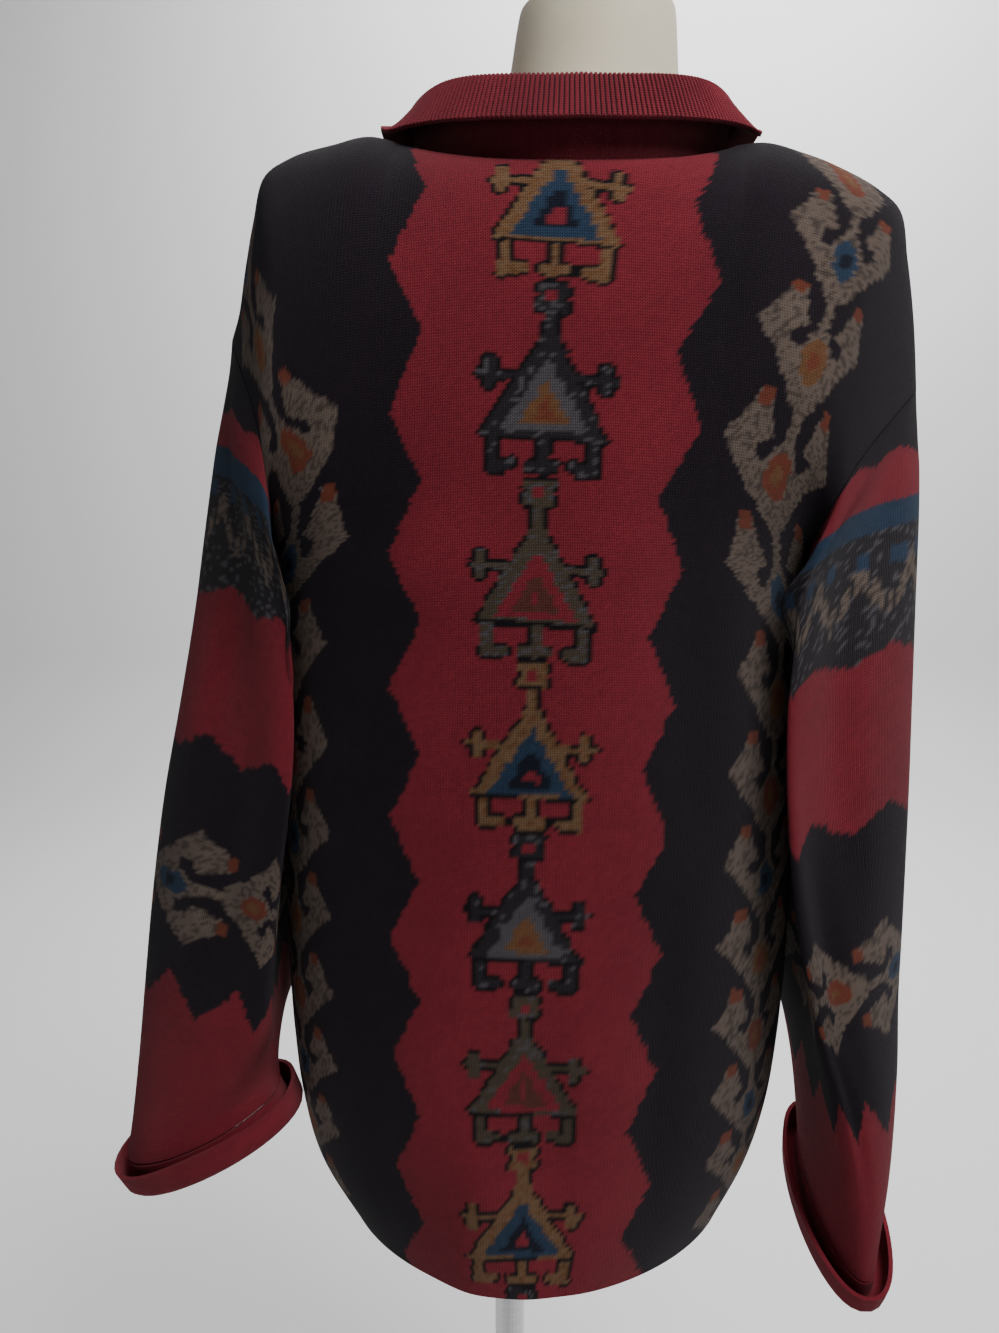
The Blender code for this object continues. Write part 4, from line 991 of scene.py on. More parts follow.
# %% [markdown]
# The sleeves hang empty, so their cloth falls in long shallow folds and buckles a little at
# the elbow. Rings of small uneven waves, faded out near the seam and the cuff, add that to
# the CAD model's main fold.
# %% The sleeves
SLEEVE_DENSE_ROWS = 281
SLEEVE_DENSE_COLUMNS = 192
RIPPLES = {  # angle, share of the sleeve, depth, angular width, length share
    "left": (
        (80, 0.34, 0.0030, 26, 0.09), (40, 0.52, -0.0024, 22, 0.12), (110, 0.62, 0.0030, 24, 0.10),
        (300, 0.45, 0.0030, 26, 0.12), (262, 0.66, 0.0026, 24, 0.12), (60, 0.80, 0.0026, 30, 0.07),
        (275, 0.25, 0.0028, 30, 0.08),
    ),
    "right": (
        (70, 0.30, 0.0030, 22, 0.08), (120, 0.48, 0.0026, 20, 0.12), (60, 0.60, 0.0034, 24, 0.10),
        (84, 0.74, -0.0026, 22, 0.09), (290, 0.40, 0.0030, 26, 0.12), (255, 0.62, 0.0030, 24, 0.11),
        (300, 0.76, 0.0024, 26, 0.08),
    ),
}


def rippled(name, grid):
    """Shallow oval dents and swells at named places round and down the sleeve."""
    share = np.linspace(0, 1, grid.shape[0])[:, None]
    angle = np.arange(grid.shape[1])[None, :] * 360 / grid.shape[1]
    depth = np.zeros(grid.shape[:2])
    for place, down, deep, wide, length in RIPPLES[name]:
        apart = (angle - place - 60 * (share - down) + 180) % 360 - 180
        depth += deep * np.exp(-((apart / wide) ** 2) - ((share - down) / length) ** 2)
    around = np.roll(grid, -1, axis=1) - np.roll(grid, 1, axis=1)
    outward = unit(np.cross(around, np.gradient(grid, axis=0))) * outward_sign(name)
    return grid - outward * depth[..., None]


def dense_sleeve(name):
    """The coarse sleeve drawn through with smooth curves, then rippled."""
    grid = finer(finer(sleeve_grid(name), SLEEVE_DENSE_ROWS, 0), SLEEVE_DENSE_COLUMNS, 1, True)
    return rippled(name, grid)


def sleeve(name, seed):
    """A charted tube from the armhole to the cuff."""
    grid = dense_sleeve(name)
    angle = np.arange(SLEEVE_DENSE_COLUMNS) * 2 * math.pi / SLEEVE_DENSE_COLUMNS
    closed = np.concatenate([grid, grid[:, :1]], axis=1)
    girth = np.linalg.norm(np.diff(closed, axis=1), axis=-1).sum(axis=1).mean()
    around = np.broadcast_to(angle / (2 * math.pi) * girth, grid.shape[:2])
    half = (1 + np.cos(angle))[None, :] / 2
    chart = sleeve_chart(name, around, grid[..., 2], half)
    wale = np.linspace(0, round(girth / WALE), SLEEVE_DENSE_COLUMNS + 1)
    down = lengths(grid, 0).mean(axis=1) / ROW_HEIGHT
    stitches = np.stack(np.broadcast_arrays(wale[None, :], -down[:, None]), axis=-1)
    yarn = spun(chart, seed)
    if outward_sign(name) < 0:
        grid, yarn = grid[:, ::-1], yarn[:, ::-1]
    ends = (True, True)
    outer = set_in(grid, True, ends, (False, False))
    inner = set_in(grid - normals_of(grid, True) * WALL, True, ends, (False, False))
    inner = inner[::INNER_STEP, ::INNER_STEP]
    return cloth(f"sleeve_tube_{name}", outer, inner, yarn, stitches, JACQUARD, True)


sleeve_left = sleeve("left", 11)
sleeve_right = sleeve("right", 13)

# %% [markdown]
# Each cuff is a tube that turns back on itself and shows its thick rolled edge. Its profile,
# down, round and up again, is carried along the sleeve's last ring.
# %% The cuffs
CUFF_DROP = 0.016
CUFF_TURN = 0.0052
CUFF_RISE = 0.020
CUFF_WALL = 0.0032
CUFF_START = 0.0012
CUFF_FLARE = 0.0012
CUFF_ROWS = 49
CUFF_COLUMNS = 184


def cuff_profile(rows):
    """A straight drop, a half circle and a straight rise, drawn through smoothly."""
    turn = np.linspace(0, math.pi, 9)
    arc = np.stack([CUFF_TURN * (1 - np.cos(turn)), -CUFF_DROP - CUFF_TURN * np.sin(turn)], axis=-1)
    start = np.stack([np.zeros(4), np.linspace(-CUFF_START, -CUFF_DROP + 0.002, 4)], axis=-1)
    rise = np.linspace(0.2, 1, 5)[:, None]
    top = np.array([2 * CUFF_TURN + CUFF_FLARE, CUFF_RISE - CUFF_DROP - CUFF_TURN])
    return finer(np.concatenate([start, arc, arc[-1] + (top - arc[-1]) * rise]), rows, 0)


def cuff(name, seed):
    """The profile carried round the sleeve's last ring, in a frame that stands on that ring."""
    grid = sleeve_grid(name)
    if outward_sign(name) < 0:
        grid = grid[:, ::-1]
    end = finer(grid[-1] - normals_of(grid, True)[-1] * WALL / 2, CUFF_COLUMNS, 0, True)
    around = unit(np.roll(end, -1, axis=0) - np.roll(end, 1, axis=0))
    spokes = end - end.mean(axis=0)
    up = np.linalg.svd(spokes, full_matrices=False)[2][2]
    up = up * np.sign(up[2])
    outward = np.cross(up, around)
    outward = unit(outward * np.sign((outward * spokes).sum()))
    profile = cuff_profile(CUFF_ROWS)
    tangent = unit(np.gradient(profile, axis=0))
    sideways = np.stack([-tangent[:, 1], tangent[:, 0]], axis=-1)
    walls = []
    sway = 0.0016 * np.sin(np.arange(CUFF_COLUMNS) * 2 * math.pi / CUFF_COLUMNS * 3 + 1.0)
    turned = np.clip(np.linspace(-1.2, 1, CUFF_ROWS), 0, 1)[:, None]
    for offset in (-CUFF_WALL / 2, CUFF_WALL / 2):
        line = profile + sideways * offset
        rise = line[:, 1:, None] + (turned * sway)[..., None]
        walls.append(end[None] + line[:, :1, None] * outward[None] + rise * up)
    run = lengths(walls[1], 0).mean(axis=1)
    stitches = np.stack(
        np.broadcast_arrays(np.arange(CUFF_COLUMNS + 1)[None, :], run[:, None] / ROW_HEIGHT),
        axis=-1,
    )
    yarn = spun(np.full(walls[1].shape[:2], NUMBER["crimson"]), seed)
    inner = walls[0][::INNER_STEP, ::INNER_STEP]
    return cloth(f"cuff_roll_{name}", walls[1], inner, yarn, stitches, JACQUARD, True)


cuff_left = cuff("left", 17)
cuff_right = cuff("right", 19)

# %% [markdown]
# The collar is one strip of rib that stands up from the neckline, folds over and falls
# outside. Its seven guide lines are kept clear of the shoulders by lifting them, and the lift
# is spread along the collar so that it stays even. The ribs are real ridges, because they
# show along the fold against the light.
# %% The collar
Turn = namedtuple("Turn", "angle base rise lean out drop")
COLLAR = (
    Turn(angle=0, base=0.0011, rise=0.0475, lean=-0.004, out=0.0110, drop=0.027),
    Turn(angle=50, base=0.0016, rise=0.0420, lean=-0.001, out=0.0160, drop=0.026),
    Turn(angle=90, base=0.0049, rise=0.0210, lean=0.004, out=0.0270, drop=0.016),
    Turn(angle=135, base=0.0075, rise=0.0260, lean=0.002, out=0.0250, drop=0.036),
    Turn(angle=180, base=0.0036, rise=0.0280, lean=0.000, out=0.0200, drop=0.050),
)
COLLAR_WALL = 0.0030
COLLAR_GAP = 1.5
COLLAR_STEPS = 264
COLLAR_FOLD = 0.0050
COLLAR_OFF = 0.0027
COLLAR_ROLL = 0.0034
COLLAR_TUCK_IN = 0.0030  # the seam allowance, sewn behind the panels' top edge
COLLAR_TUCK_DOWN = 0.0060
BAND_OVER = 0.0034
RIB_RISE = 0.0007
COLLAR_RIBS = 224
COLLAR_PARTS = 5  # points across each rib
COLLAR_ROWS = 49
SPREAD = 9  # columns over which a lift is shared with its neighbours


def spread(lift):
    """The highest lift within reach of each column, then the mean of those, so none gets less."""
    padded = np.pad(lift, ((0, 0), (SPREAD, SPREAD)), mode="edge")
    windows = np.lib.stride_tricks.sliding_window_view(padded, 2 * SPREAD + 1, axis=1)
    highest = np.pad(windows.max(axis=-1), ((0, 0), (SPREAD, SPREAD)), mode="edge")
    return np.lib.stride_tricks.sliding_window_view(highest, 2 * SPREAD + 1, axis=1).mean(axis=-1)


def collar_frame(angle):
    """The neckline right round, and the level direction that leads away from it."""
    side = np.where(angle >= 0, 1.0, -1.0)
    points = neck_point(np.abs(angle), side)
    along = np.gradient(points, axis=0)
    outward = unit(np.stack([-along[:, 1], along[:, 0], np.zeros(len(angle))], axis=-1))
    centre = np.array([NECK_X, NECK_Y, 0.0])
    return points, outward * np.sign((outward * (points - centre))[:, :2].sum(axis=1))[:, None]


def collar_middle(angle):
    """Seven guide lines from the neckline over the fold to the free edge."""
    size = {f: column(COLLAR, f, np.abs(angle), "angle") for f in Turn._fields[1:]}
    rise, lean = size["rise"], size["lean"]
    low = rise - size["drop"]
    fold = lean + COLLAR_FOLD
    turned = rise - 0.7 * COLLAR_FOLD
    out = np.stack([
        0 * lean - COLLAR_TUCK_IN, lean * 0.5, lean, lean + 0.45 * COLLAR_FOLD, fold,
        (fold + size["out"]) / 2, size["out"],
    ])
    up = np.stack([
        size["base"] - COLLAR_TUCK_DOWN, rise * 0.5, rise - 0.8 * COLLAR_FOLD, rise,
        turned, (turned + low) / 2, low,
    ])
    points, outward = collar_frame(angle)
    middle = points[None] + outward[None] * out[..., None]
    middle[..., 2] += up
    pieces = [body_surface(side, BODY_ROWS)[:2] for side in (1, -1)]
    surface = np.concatenate([piece[0] for piece in pieces])
    facing = np.concatenate([piece[1] for piece in pieces])
    fall = middle[4:]
    near_band = np.clip(2 - np.abs(fall[..., 0] - MIDDLE_X) / BAND_HALF, 0, 1)
    near_band = near_band * (fall[..., 1] < 0)
    roll = COLLAR_ROLL * np.array([0.0, 1.0, 0.0])[:, None]
    wanted = COLLAR_OFF + roll + near_band * (BAND_OVER + RIB_RISE)
    under = surface[nearest(fall, surface, 2)][..., 2]
    fall[..., 2] += spread(np.maximum(under + COLLAR_OFF - fall[..., 2], 0))
    for _ in range(4):
        places = nearest(fall, surface, 3)
        height = ((fall - surface[places]) * facing[places]).sum(axis=-1)
        away = np.stack([smoothed(facing[places][..., k]) for k in range(3)], axis=-1)
        fall += unit(away) * spread(np.maximum(wanted - height, 0))[..., None]
    middle[4:] = fall
    return middle


def smoothed(values):
    """Each value mixed with those within reach of it along the collar."""
    padded = np.pad(values, ((0, 0), (SPREAD, SPREAD)), mode="edge")
    return np.lib.stride_tricks.sliding_window_view(padded, 2 * SPREAD + 1, axis=1).mean(axis=-1)


def ribbed(count, parts, rise):
    """Heights across a rib knit: a rounded crest and a narrow hollow, over and over."""
    place = np.arange(count * parts + 1) / parts
    return rise * (np.abs(np.sin(place * math.pi)) ** 0.7 - 0.6)


def collar(seed):
    """The guide lines drawn through densely, with ribs raised on the outer face."""
    lean = math.degrees(math.asin((MIDDLE_X - NECK_X) / NECK_HALF_X))
    angle = np.linspace(-180 - lean + COLLAR_GAP, 180 - lean - COLLAR_GAP, COLLAR_STEPS + 1)
    grid = finer(finer(collar_middle(angle), COLLAR_ROWS, 0), COLLAR_RIBS * COLLAR_PARTS + 1, 1)
    normal = normals_of(grid, False)
    ribs = ribbed(COLLAR_RIBS, COLLAR_PARTS, 2 * RIB_RISE)[None, :, None]
    outer = grid + normal * (COLLAR_WALL / 2 - RIB_RISE / 2 + ribs)
    inner = (grid - normal * COLLAR_WALL / 2)[::INNER_STEP, ::COLLAR_PARTS]
    wale = np.broadcast_to(np.arange(grid.shape[1]) / COLLAR_PARTS, grid.shape[:2])
    stitches = np.stack([wale, lengths(grid, 0) / ROW_HEIGHT], axis=-1)
    yarn = spun(np.full(grid.shape[:2], NUMBER["rib_red"]), seed)
    # Painted shade: the yarn colour is darker in the hollows between the ribs.
    furrow_shade = np.clip(0.80 + ribs / (2 * RIB_RISE) * 0.5, 0.4, 1.1)
    return cloth("rib_collar", outer, inner, yarn * furrow_shade, stitches, RIB_WOOL)


rib_collar = collar(23)

# %% [markdown]
# The two front bands are strips of the same rib, on the fronts' own surface. A buttonhole band
# should lie over the button band. Here, as in the CAD model, the strips' columns run the other
# way, so their normals point into the garment: the buttonhole band clears the button band on
# the inside, and the ribs rise there too. It is a known fault, kept to match the solids.
# %% The bands
BAND_TUCK = 0.009
BAND_TOP_GAP = 0.005
BAND_RIBS = 10
BAND_PARTS = 4
BAND_ROWS = 241
BAND_STEP = 0.002


def band_grid(places):
    """A strip of the front surface, at places from the right seam, -1, to the left one, 1."""
    left = half_panel(1, -1, np.append(np.clip(places, 0, None) * front_share(1), 1.0))[:, :-1]
    right = half_panel(-1, -1, np.append(np.clip(-places, 0, None) * front_share(-1), 1.0))[:, :-1]
    grid = np.where((places >= 0)[None, :, None], left, right)[:, ::-1]
    grid[-1] += unit(grid[-2] - grid[-1]) * BAND_TOP_GAP
    return finer(grid, BAND_ROWS, 0)


def band(name, grid, lift, ribs, seed):
    """A ribbed strip raised by its lift."""
    normal = normals_of(grid, False)
    base = grid + normal * lift
    height = ribbed(ribs, BAND_PARTS, 1.4 * RIB_RISE)[None, :, None]
    outer = base + normal * (height - RIB_RISE * 0.55)
    inner = (base - normal * WALL)[::INNER_STEP, ::BAND_PARTS]
    wale = np.broadcast_to(np.arange(grid.shape[1]) / BAND_PARTS, grid.shape[:2])
    stitches = np.stack([wale, lengths(grid, 0) / ROW_HEIGHT], axis=-1)
    yarn = spun(np.full(grid.shape[:2], NUMBER["rib_red"]), seed)
    # Painted shade: the yarn colour is darker in the hollows between the ribs, and a little lighter on
    # their crests.
    furrow_shade = np.clip(0.85 + height / RIB_RISE * 0.35, 0.4, 1.1)
    return cloth(name, outer, inner, yarn * furrow_shade, stitches, RIB_WOOL)


columns = BAND_RIBS * BAND_PARTS + 1
gap = SEAM / BAND_HALF
under_places = np.linspace(1 - gap, BAND_TUCK / BAND_HALF - 1, columns)[::-1]
over_places = np.linspace(gap - 1, 1.0, columns)
band_under = band("band_under", band_grid(under_places), 0.0, BAND_RIBS, 29)
over_grid = band_grid(over_places)
from_seam = np.linspace(2 * BAND_HALF, 0, columns)
over_lift = BAND_OVER * np.clip(from_seam / (BAND_TUCK - BAND_STEP), 0, 1)[None, :, None]
band_over = band("band_over", over_grid, over_lift, BAND_RIBS, 31)

# %% [markdown]
# Six buttons of dark horn, turned with a raised rim round a dished face. The CAD nodes hold
# the turned shape; here the face gets four thread holes and a cross of sewing thread. The
# dish is a height worked out over rings and spokes, so the holes are real hollows. They share
# the bands' fault: they sit on the inside of the bands, where the CAD nodes are.
# %% The buttons
BUTTON_RADIUS = 0.0105
BUTTON_THICK = 0.0040
BUTTON_TOP_DROP = 0.030
BUTTON_BOTTOM_RISE = 0.055
HOLE_OFF = 0.0027
HOLE_RADIUS = 0.0011
THREAD_RADIUS = 0.00042


def horn(name):
    """Polished horn: dark brown with drawn-out streaks, and a clear gloss."""
    made, tree, shader = blank(name)
    streaks = noise(tree, stretched(tree, (90.0, 260.0, 900.0), (0.2, 0.4, 0.7)), 1.4, 5.0)
    ramped(tree, shader, streaks, (0.010, 0.005, 0.004), (0.085, 0.038, 0.022), (0.35, 0.72))
    rough = calc(tree, "MULTIPLY_ADD", streaks, 0.25, 0.18)
    tree.links.new(rough, shader.inputs["Roughness"])
    shader.inputs["Coat Weight"].default_value = 0.25
    return made


HORN = horn("Dark horn")


def button_grid():
    """Rings from the middle of the face over the rim to the middle of the back, as (out, up)."""
    face = np.linspace(0.0, 0.78, 18)
    dish = 0.62 + 0.38 * np.clip((face - 0.60) / 0.18, 0, 1) ** 2 * (
        3 - 2 * np.clip((face - 0.60) / 0.18, 0, 1)
    )
    rim = np.array([(0.86, 1.0), (0.93, 0.95), (0.98, 0.80), (1.0, 0.58), (0.97, 0.40)])
    back = np.array([(0.88, 0.22), (0.74, 0.03), (0.5, 0.0), (0.0, 0.0)])
    profile = np.concatenate([np.stack([face, dish], axis=-1), rim, back])
    angle = np.arange(56) * 2 * math.pi / 56
    out = profile[:, :1] * BUTTON_RADIUS
    x, y = out * np.cos(angle), out * np.sin(angle)
    z = np.broadcast_to(profile[:, 1:] * BUTTON_THICK, x.shape).copy()
    on_face = (np.arange(len(profile)) < len(face))[:, None]
    for side in (1, -1):
        for other in (1, -1):
            apart = np.hypot(x - side * HOLE_OFF / 1.4, y - other * HOLE_OFF / 1.4)
            z -= on_face * 0.0015 * np.clip(1.5 - apart / HOLE_RADIUS, 0, 1) ** 0.5
    return np.stack([x, y, z], axis=-1)


def button(name, place, facing):
    """The grid turned to a facing, with its two poles closed by single points."""
    grid = button_grid()
    side = unit(np.cross([0.0, 0.0, 1.0], facing))
    axes = np.stack([side, np.cross(facing, side), facing])
    numbers = np.arange(grid[..., 0].size).reshape(grid.shape[:2])
    faces = stitched_faces(numbers[1:-1], True)[:, ::-1].tolist()
    top, bottom = numbers[0, 0], numbers[-1, 0]
    spokes = np.arange(grid.shape[1])
    faces += [(top, numbers[1, k], numbers[1, (k + 1) % len(spokes)]) for k in spokes.tolist()]
    faces += [(bottom, numbers[-2, (k + 1) % len(spokes)], numbers[-2, k]) for k in spokes.tolist()]
    points = grid.reshape(-1, 3) @ axes + place
    mesh = shaped(name, points, [[int(n) for n in face] for face in faces], HORN)
    mesh.validate()
    return placed(name, mesh), axes


def thread_cross(name, place, axes):
    """Two crossed bars of thread over the holes: thin tubes whose ends dip into them."""
    run = np.linspace(-1, 1, 15)
    turn = np.arange(6) * 2 * math.pi / 6
    points, faces = [], []
    for side in (1, -1):
        line = np.stack([
            run * HOLE_OFF / 1.4, side * run * HOLE_OFF / 1.4,
            BUTTON_THICK * 0.62 + 0.0004 - 0.0014 * np.abs(run) ** 6,
        ], axis=-1)
        along = unit(np.gradient(line, axis=0))
        over = np.array([0.0, 0.0, 1.0])
        flat = unit(np.cross(along, over))
        tall = np.cross(flat, along)
        sideways = np.cos(turn)[None, :, None] * flat[:, None]
        ring = sideways + np.sin(turn)[None, :, None] * tall[:, None]
        tube = (line[:, None] + ring * THREAD_RADIUS).reshape(-1, 3)
        numbers = len(points) * len(tube) + np.arange(len(tube)).reshape(len(run), 6)
        faces += stitched_faces(numbers, True).tolist()
        faces += [numbers[0][::-1].tolist(), numbers[-1].tolist()]
        points.append(tube)
    return placed(name, shaped(name, np.concatenate(points) @ axes + place, faces, THREAD))


def thread_finish():
    """Dull cotton with a fine twist."""
    made, tree, shader = blank("Sewing thread")
    twist = noise(tree, in_object(tree), 2400.0, 2.0)
    ramped(tree, shader, twist, (0.030, 0.008, 0.012), (0.110, 0.020, 0.030))
    shader.inputs["Roughness"].default_value = 0.85
    return made


THREAD = thread_finish()
middle_line = over_grid[:, columns // 2]
middle_normal = normals_of(over_grid, False)[:, columns // 2]
heights = np.linspace(
    middle_line[-1, 2] - BUTTON_TOP_DROP, middle_line[0, 2] + BUTTON_BOTTOM_RISE, 6
)
buttons = []
for number, height in enumerate(heights, start=1):
    low, high = (np.array(corner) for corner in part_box(f"button_{number}"))
    facing = unit(np.array([
        np.interp(height, middle_line[:, 2], middle_normal[:, k]) for k in range(3)
    ]))
    place = (low + high) / 2 - facing * BUTTON_THICK / 2
    made, axes = button(f"horn_button_{number}", place, facing)
    buttons.append((number, made, thread_cross(f"button_thread_{number}", place, axes)))
print("buttons:", len(buttons), "each with", len(buttons[0][1].data.polygons), "faces")

# %% [markdown]
# The form is padded board under a stretched cream cover. The CAD model gives its slices, and
# here they are drawn through with smooth curves, a little inside it, so that the shoulder
# flows into the neck. Its cover is a fine jersey.
# %% The form
Slice = namedtuple("Slice", "z left right back front neck")
FORM = (
    Slice(z=0.700, left=0.118, right=-0.158, back=0.082, front=-0.076, neck=0.010),
    Slice(z=0.706, left=0.132, right=-0.172, back=0.094, front=-0.086, neck=0.010),
    Slice(z=0.730, left=0.144, right=-0.186, back=0.104, front=-0.094, neck=0.010),
    Slice(z=0.800, left=0.148, right=-0.194, back=0.107, front=-0.098, neck=0.010),
    Slice(z=0.900, left=0.122, right=-0.178, back=0.093, front=-0.092, neck=0.010),
    Slice(z=1.000, left=0.100, right=-0.166, back=0.081, front=-0.088, neck=0.010),
    Slice(z=1.100, left=0.112, right=-0.188, back=0.088, front=-0.102, neck=0.010),
    Slice(z=1.200, left=0.130, right=-0.214, back=0.098, front=-0.110, neck=0.010),
    Slice(z=1.280, left=0.146, right=-0.236, back=0.088, front=-0.092, neck=0.020),
    Slice(z=1.335, left=0.157, right=-0.250, back=0.062, front=-0.064, neck=0.040),
    Slice(z=1.362, left=0.160, right=-0.250, back=0.048, front=-0.046, neck=0.055),
    Slice(z=1.378, left=0.157, right=-0.237, back=0.037, front=-0.033, neck=0.060),
    Slice(z=1.391, left=0.145, right=-0.210, back=0.029, front=-0.022, neck=0.062),
    Slice(z=1.399, left=0.124, right=-0.184, back=0.022, front=-0.014, neck=0.062),
    Slice(z=1.403, left=0.086, right=-0.150, back=0.018, front=-0.010, neck=0.063),
    Slice(z=1.410, left=0.020, right=-0.080, back=0.010, front=-0.010, neck=0.0660),
    Slice(z=1.445, left=0.000, right=-0.070, back=0.010, front=-0.010, neck=0.0595),
    Slice(z=1.490, left=0.000, right=-0.070, back=0.010, front=-0.010, neck=0.0540),
    Slice(z=1.498, left=0.000, right=-0.070, back=0.010, front=-0.010, neck=0.0515),
    Slice(z=1.501, left=0.000, right=-0.070, back=0.010, front=-0.010, neck=0.0470),
)
FORM_COLUMNS = 112
FORM_LEAN_X = -0.057
FORM_FOOT_X = -0.020
COVER_IN = 0.0008  # the cover lies this far inside the CAD form
COVER_WALES = 4.0  # in each column
COVER_COURSE = 0.0012


def form_ring(row):
    """The torso's ellipse joined to the neck's circle, in polar form about the neck's middle."""
    angle = np.arange(FORM_COLUMNS) * 2 * math.pi / FORM_COLUMNS
    middle = np.array([(row.left + row.right) / 2, (row.back + row.front) / 2])
    half = np.array([(row.left - row.right) / 2, (row.back - row.front) / 2])
    around = np.stack([np.cos(angle), np.sin(angle)], axis=-1)
    torso = middle + half * around
    lean = (row.z - FORM[0].z) / (FORM[-1].z - FORM[0].z)
    neck = np.array([FORM_FOOT_X + (FORM_LEAN_X - FORM_FOOT_X) * lean, 0.0])
    reach = np.linalg.norm(torso - neck, axis=1, keepdims=True)
    joined = (reach**6 + row.neck**6) ** (1 / 6)
    flat = neck + (torso - neck) / reach * joined if row.z < 1.405 else neck + around * row.neck
    return np.concatenate([flat, np.full((FORM_COLUMNS, 1), row.z)], axis=1)


def jersey(name):
    """Stretched cream jersey: fine wales round the form, faint soiling and a soft sheen."""
    made, tree, shader = blank(name)
    cloud = noise(tree, in_object(tree), 9.0)
    ramped(tree, shader, cloud, (0.62, 0.53, 0.37), (0.76, 0.68, 0.52), (0.30, 0.70))
    bumped(tree, shader, stitch_height(tree, in_stitches(tree)), 0.25, 0.0004)
    shader.inputs["Roughness"].default_value = 0.75
    shader.inputs["Sheen Weight"].default_value = 0.2
    return made


def dress_form():
    """Rings drawn through from floor side to neck, closed by a flat fan at each end."""
    grid = np.stack([form_ring(row) for row in FORM])
    grid = finer(grid, (len(FORM) - 1) * 6 + 1, 0)
    outward = normals_of(grid, True)
    grid = grid - outward * COVER_IN
    numbers = np.arange(grid[..., 0].size).reshape(grid.shape[:2])
    faces = stitched_faces(numbers, True).tolist()
    faces += [numbers[0][::-1].tolist(), numbers[-1].tolist()]
    mesh = shaped("form_cover", grid, faces, jersey("Cream jersey"))
    corners = np.zeros(len(mesh.loops), int)
    mesh.loops.foreach_get("vertex_index", corners)
    up = lengths(grid, 0).mean(axis=1)
    wale = np.arange(FORM_COLUMNS)[None, :] * COVER_WALES
    places = np.stack(np.broadcast_arrays(wale, up[:, None] / COVER_COURSE), axis=-1).reshape(-1, 2)
    layer = mesh.uv_layers.new(name="Stitches")
    layer.data.foreach_set("uv", places[corners].ravel())
    mesh.set_sharp_from_angle(angle=math.radians(50))
    print("form:", len(faces), "faces")
    return placed("form_cover", mesh)


form = dress_form()

# %% [markdown]
# The pole and the base keep the CAD model's shape and get brushed steel: fine streaks round
# the pole, drawn by stretching a noise along one axis.
# %% The stand
def brushed(name, scale):
    """Steel with streaks that run the short way of the scale, which vary its gloss and its level."""
    made, tree, shader = blank(name)
    streaks = noise(tree, stretched(tree, scale), 1.0, 4.0)
    tree.links.new(calc(tree, "MULTIPLY_ADD", streaks, 0.22, 0.22), shader.inputs["Roughness"])
    bumped(tree, shader, streaks, 0.12, 0.0002)
    ramped(tree, shader, streaks, (0.40, 0.40, 0.41), (0.66, 0.66, 0.67))
    shader.inputs["Metallic"].default_value = 1.0
    return made


def finish_node(name, finish):
    """Puts a finish in every material slot of a CAD node."""
    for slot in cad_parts[name].material_slots:
        slot.material = finish


finish_node("stand_pole", brushed("Brushed pole", (40.0, 40.0, 1400.0)))
finish_node("stand_base", brushed("Brushed base", (60.0, 900.0, 60.0)))

# %% [markdown]
# Every new piece rides on the model's one body, and the CAD node that it stands for is hidden.
# A table lists each cloth piece with its node, a finish slot, the size that it was cut or
# knitted to before it was sewn, and the pieces it rests on.
# %% Ride and replace
Cut = namedtuple("Cut", "piece node slot width length area rests_on")
CUTS = (
    Cut(back, "back", "crimson_jacquard", 0.560, 0.830, 0.404, ["dress_form"]),
    Cut(front_left, "front_left", "aubergine_jacquard", 0.300, 0.830, 0.182, ["dress_form"]),
    Cut(front_right, "front_right", "aubergine_jacquard", 0.320, 0.830, 0.196, ["dress_form"]),
    Cut(
        sleeve_left, "sleeve_left", "aubergine_jacquard", 0.460, 0.570, 0.230,
        ["back", "front_left"],
    ),
    Cut(
        sleeve_right, "sleeve_right", "aubergine_jacquard", 0.490, 0.600, 0.255,
        ["back", "front_right"],
    ),
    Cut(cuff_left, "cuff_left", "crimson_jacquard", 0.356, 0.043, None, ["sleeve_left"]),
    Cut(cuff_right, "cuff_right", "crimson_jacquard", 0.330, 0.043, None, ["sleeve_right"]),
    Cut(rib_collar, "collar", "red_rib", 0.700, 0.084, None, ["back", "front_left", "front_right"]),
    Cut(band_under, "button_band", "red_rib", 0.028, 0.720, None, ["front_left"]),
    Cut(band_over, "buttonhole_band", "red_rib", 0.035, 0.720, None, ["front_right"]),
)
for cut in CUTS:
    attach(cut.piece, "root")
    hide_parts(cut.node)
for number, made, cross in buttons:
    for piece in (made, cross):
        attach(piece, "root")
    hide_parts(f"button_{number}")
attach(form, "root")
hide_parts("dress_form")
print("declared:", len(CUTS), "sheets")

# %% [markdown]
# A plain pale room: a floor that sweeps up into a wall behind the form, one soft light from
# above on the window's side, a light for the wall, weak fills from the back and the front,
# and a faint even sky. The yarns and the lights were set together, by comparing patches of
# the render with the photo.
# %% The room and its light
FLOOR_START, WALL_FOOT, WALL_BEND, WALL_TOP = 4.0, -2.6, 0.5, 5.0
ROOM_HALF = 4.0
FLOOR_DROP = 0.0005


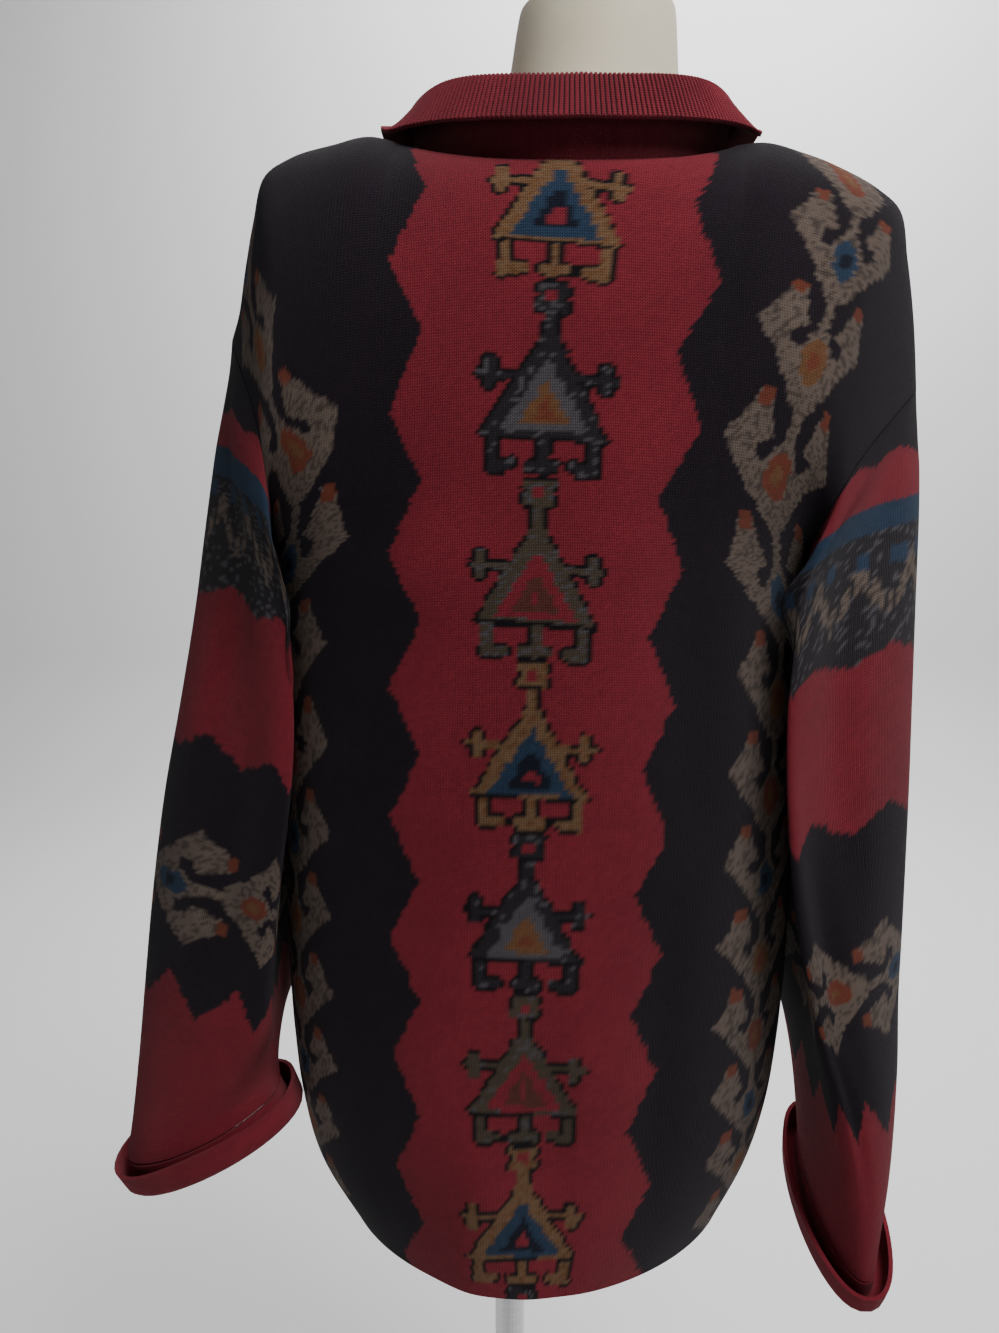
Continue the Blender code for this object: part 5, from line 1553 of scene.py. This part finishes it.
def sweep():
    """A floor that bends up into a wall: a level line, a quarter circle and an upright one."""
    bend = np.linspace(0, math.pi / 2, 12)
    curve = np.stack([WALL_FOOT - WALL_BEND * np.sin(bend), WALL_BEND * (1 - np.cos(bend))], axis=-1)
    ends = [[FLOOR_START, 0.0], [WALL_FOOT, 0.0]], [[WALL_FOOT - WALL_BEND, WALL_TOP]]
    line = np.concatenate([ends[0], curve[1:], ends[1]])
    sides = np.array([-ROOM_HALF, ROOM_HALF])[None, :]
    grid = np.stack(np.broadcast_arrays(sides, line[:, :1], line[:, 1:] - FLOOR_DROP), axis=-1)
    numbers = np.arange(grid[..., 0].size).reshape(grid.shape[:2])
    paint, _, shader = blank("Pale paint")
    shader.inputs["Base Color"].default_value = (0.80, 0.80, 0.80, 1)
    shader.inputs["Roughness"].default_value = 0.9
    mesh = shaped("room", grid, stitched_faces(numbers, False).tolist(), paint)
    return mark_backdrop(placed("room", mesh))


def soft_light(name, place, aim, size, power):
    """A square light that faces the point it is aimed at."""
    lamp = bpy.data.lights.new(name, "AREA")
    lamp.size = size
    lamp.energy = power
    away = unit(np.array(aim, float) - np.array(place, float))
    turn = math.atan2(away[1], away[0])
    placed(name, lamp).matrix_world = (
        Matrix.Translation(place)
        @ Matrix.Rotation(turn - math.pi / 2, 4, "Z")
        @ Matrix.Rotation(math.acos(-away[2]), 4, "X")
    )


sweep()
soft_light("window", (-0.8, 1.0, 2.9), (0.0, 0.0, 1.20), 1.0, 60.0)
soft_light("low fill", (0.2, 2.0, 1.15), (0.0, 0.0, 1.40), 0.9, 5.0)
soft_light("wall light", (-0.8, -1.6, 3.4), (-0.7, -3.1, 1.0), 2.4, 150.0)
soft_light("front fill", (0.5, -2.2, 2.0), (0.0, 0.0, 1.0), 1.2, 8.0)
world = bpy.data.worlds.new("Even sky")
world.use_nodes = True
world.node_tree.nodes["Background"].inputs["Color"].default_value = (0.86, 0.92, 1.0, 1)
world.node_tree.nodes["Background"].inputs["Strength"].default_value = 0.06
bpy.context.scene.world = world
print("room lit")
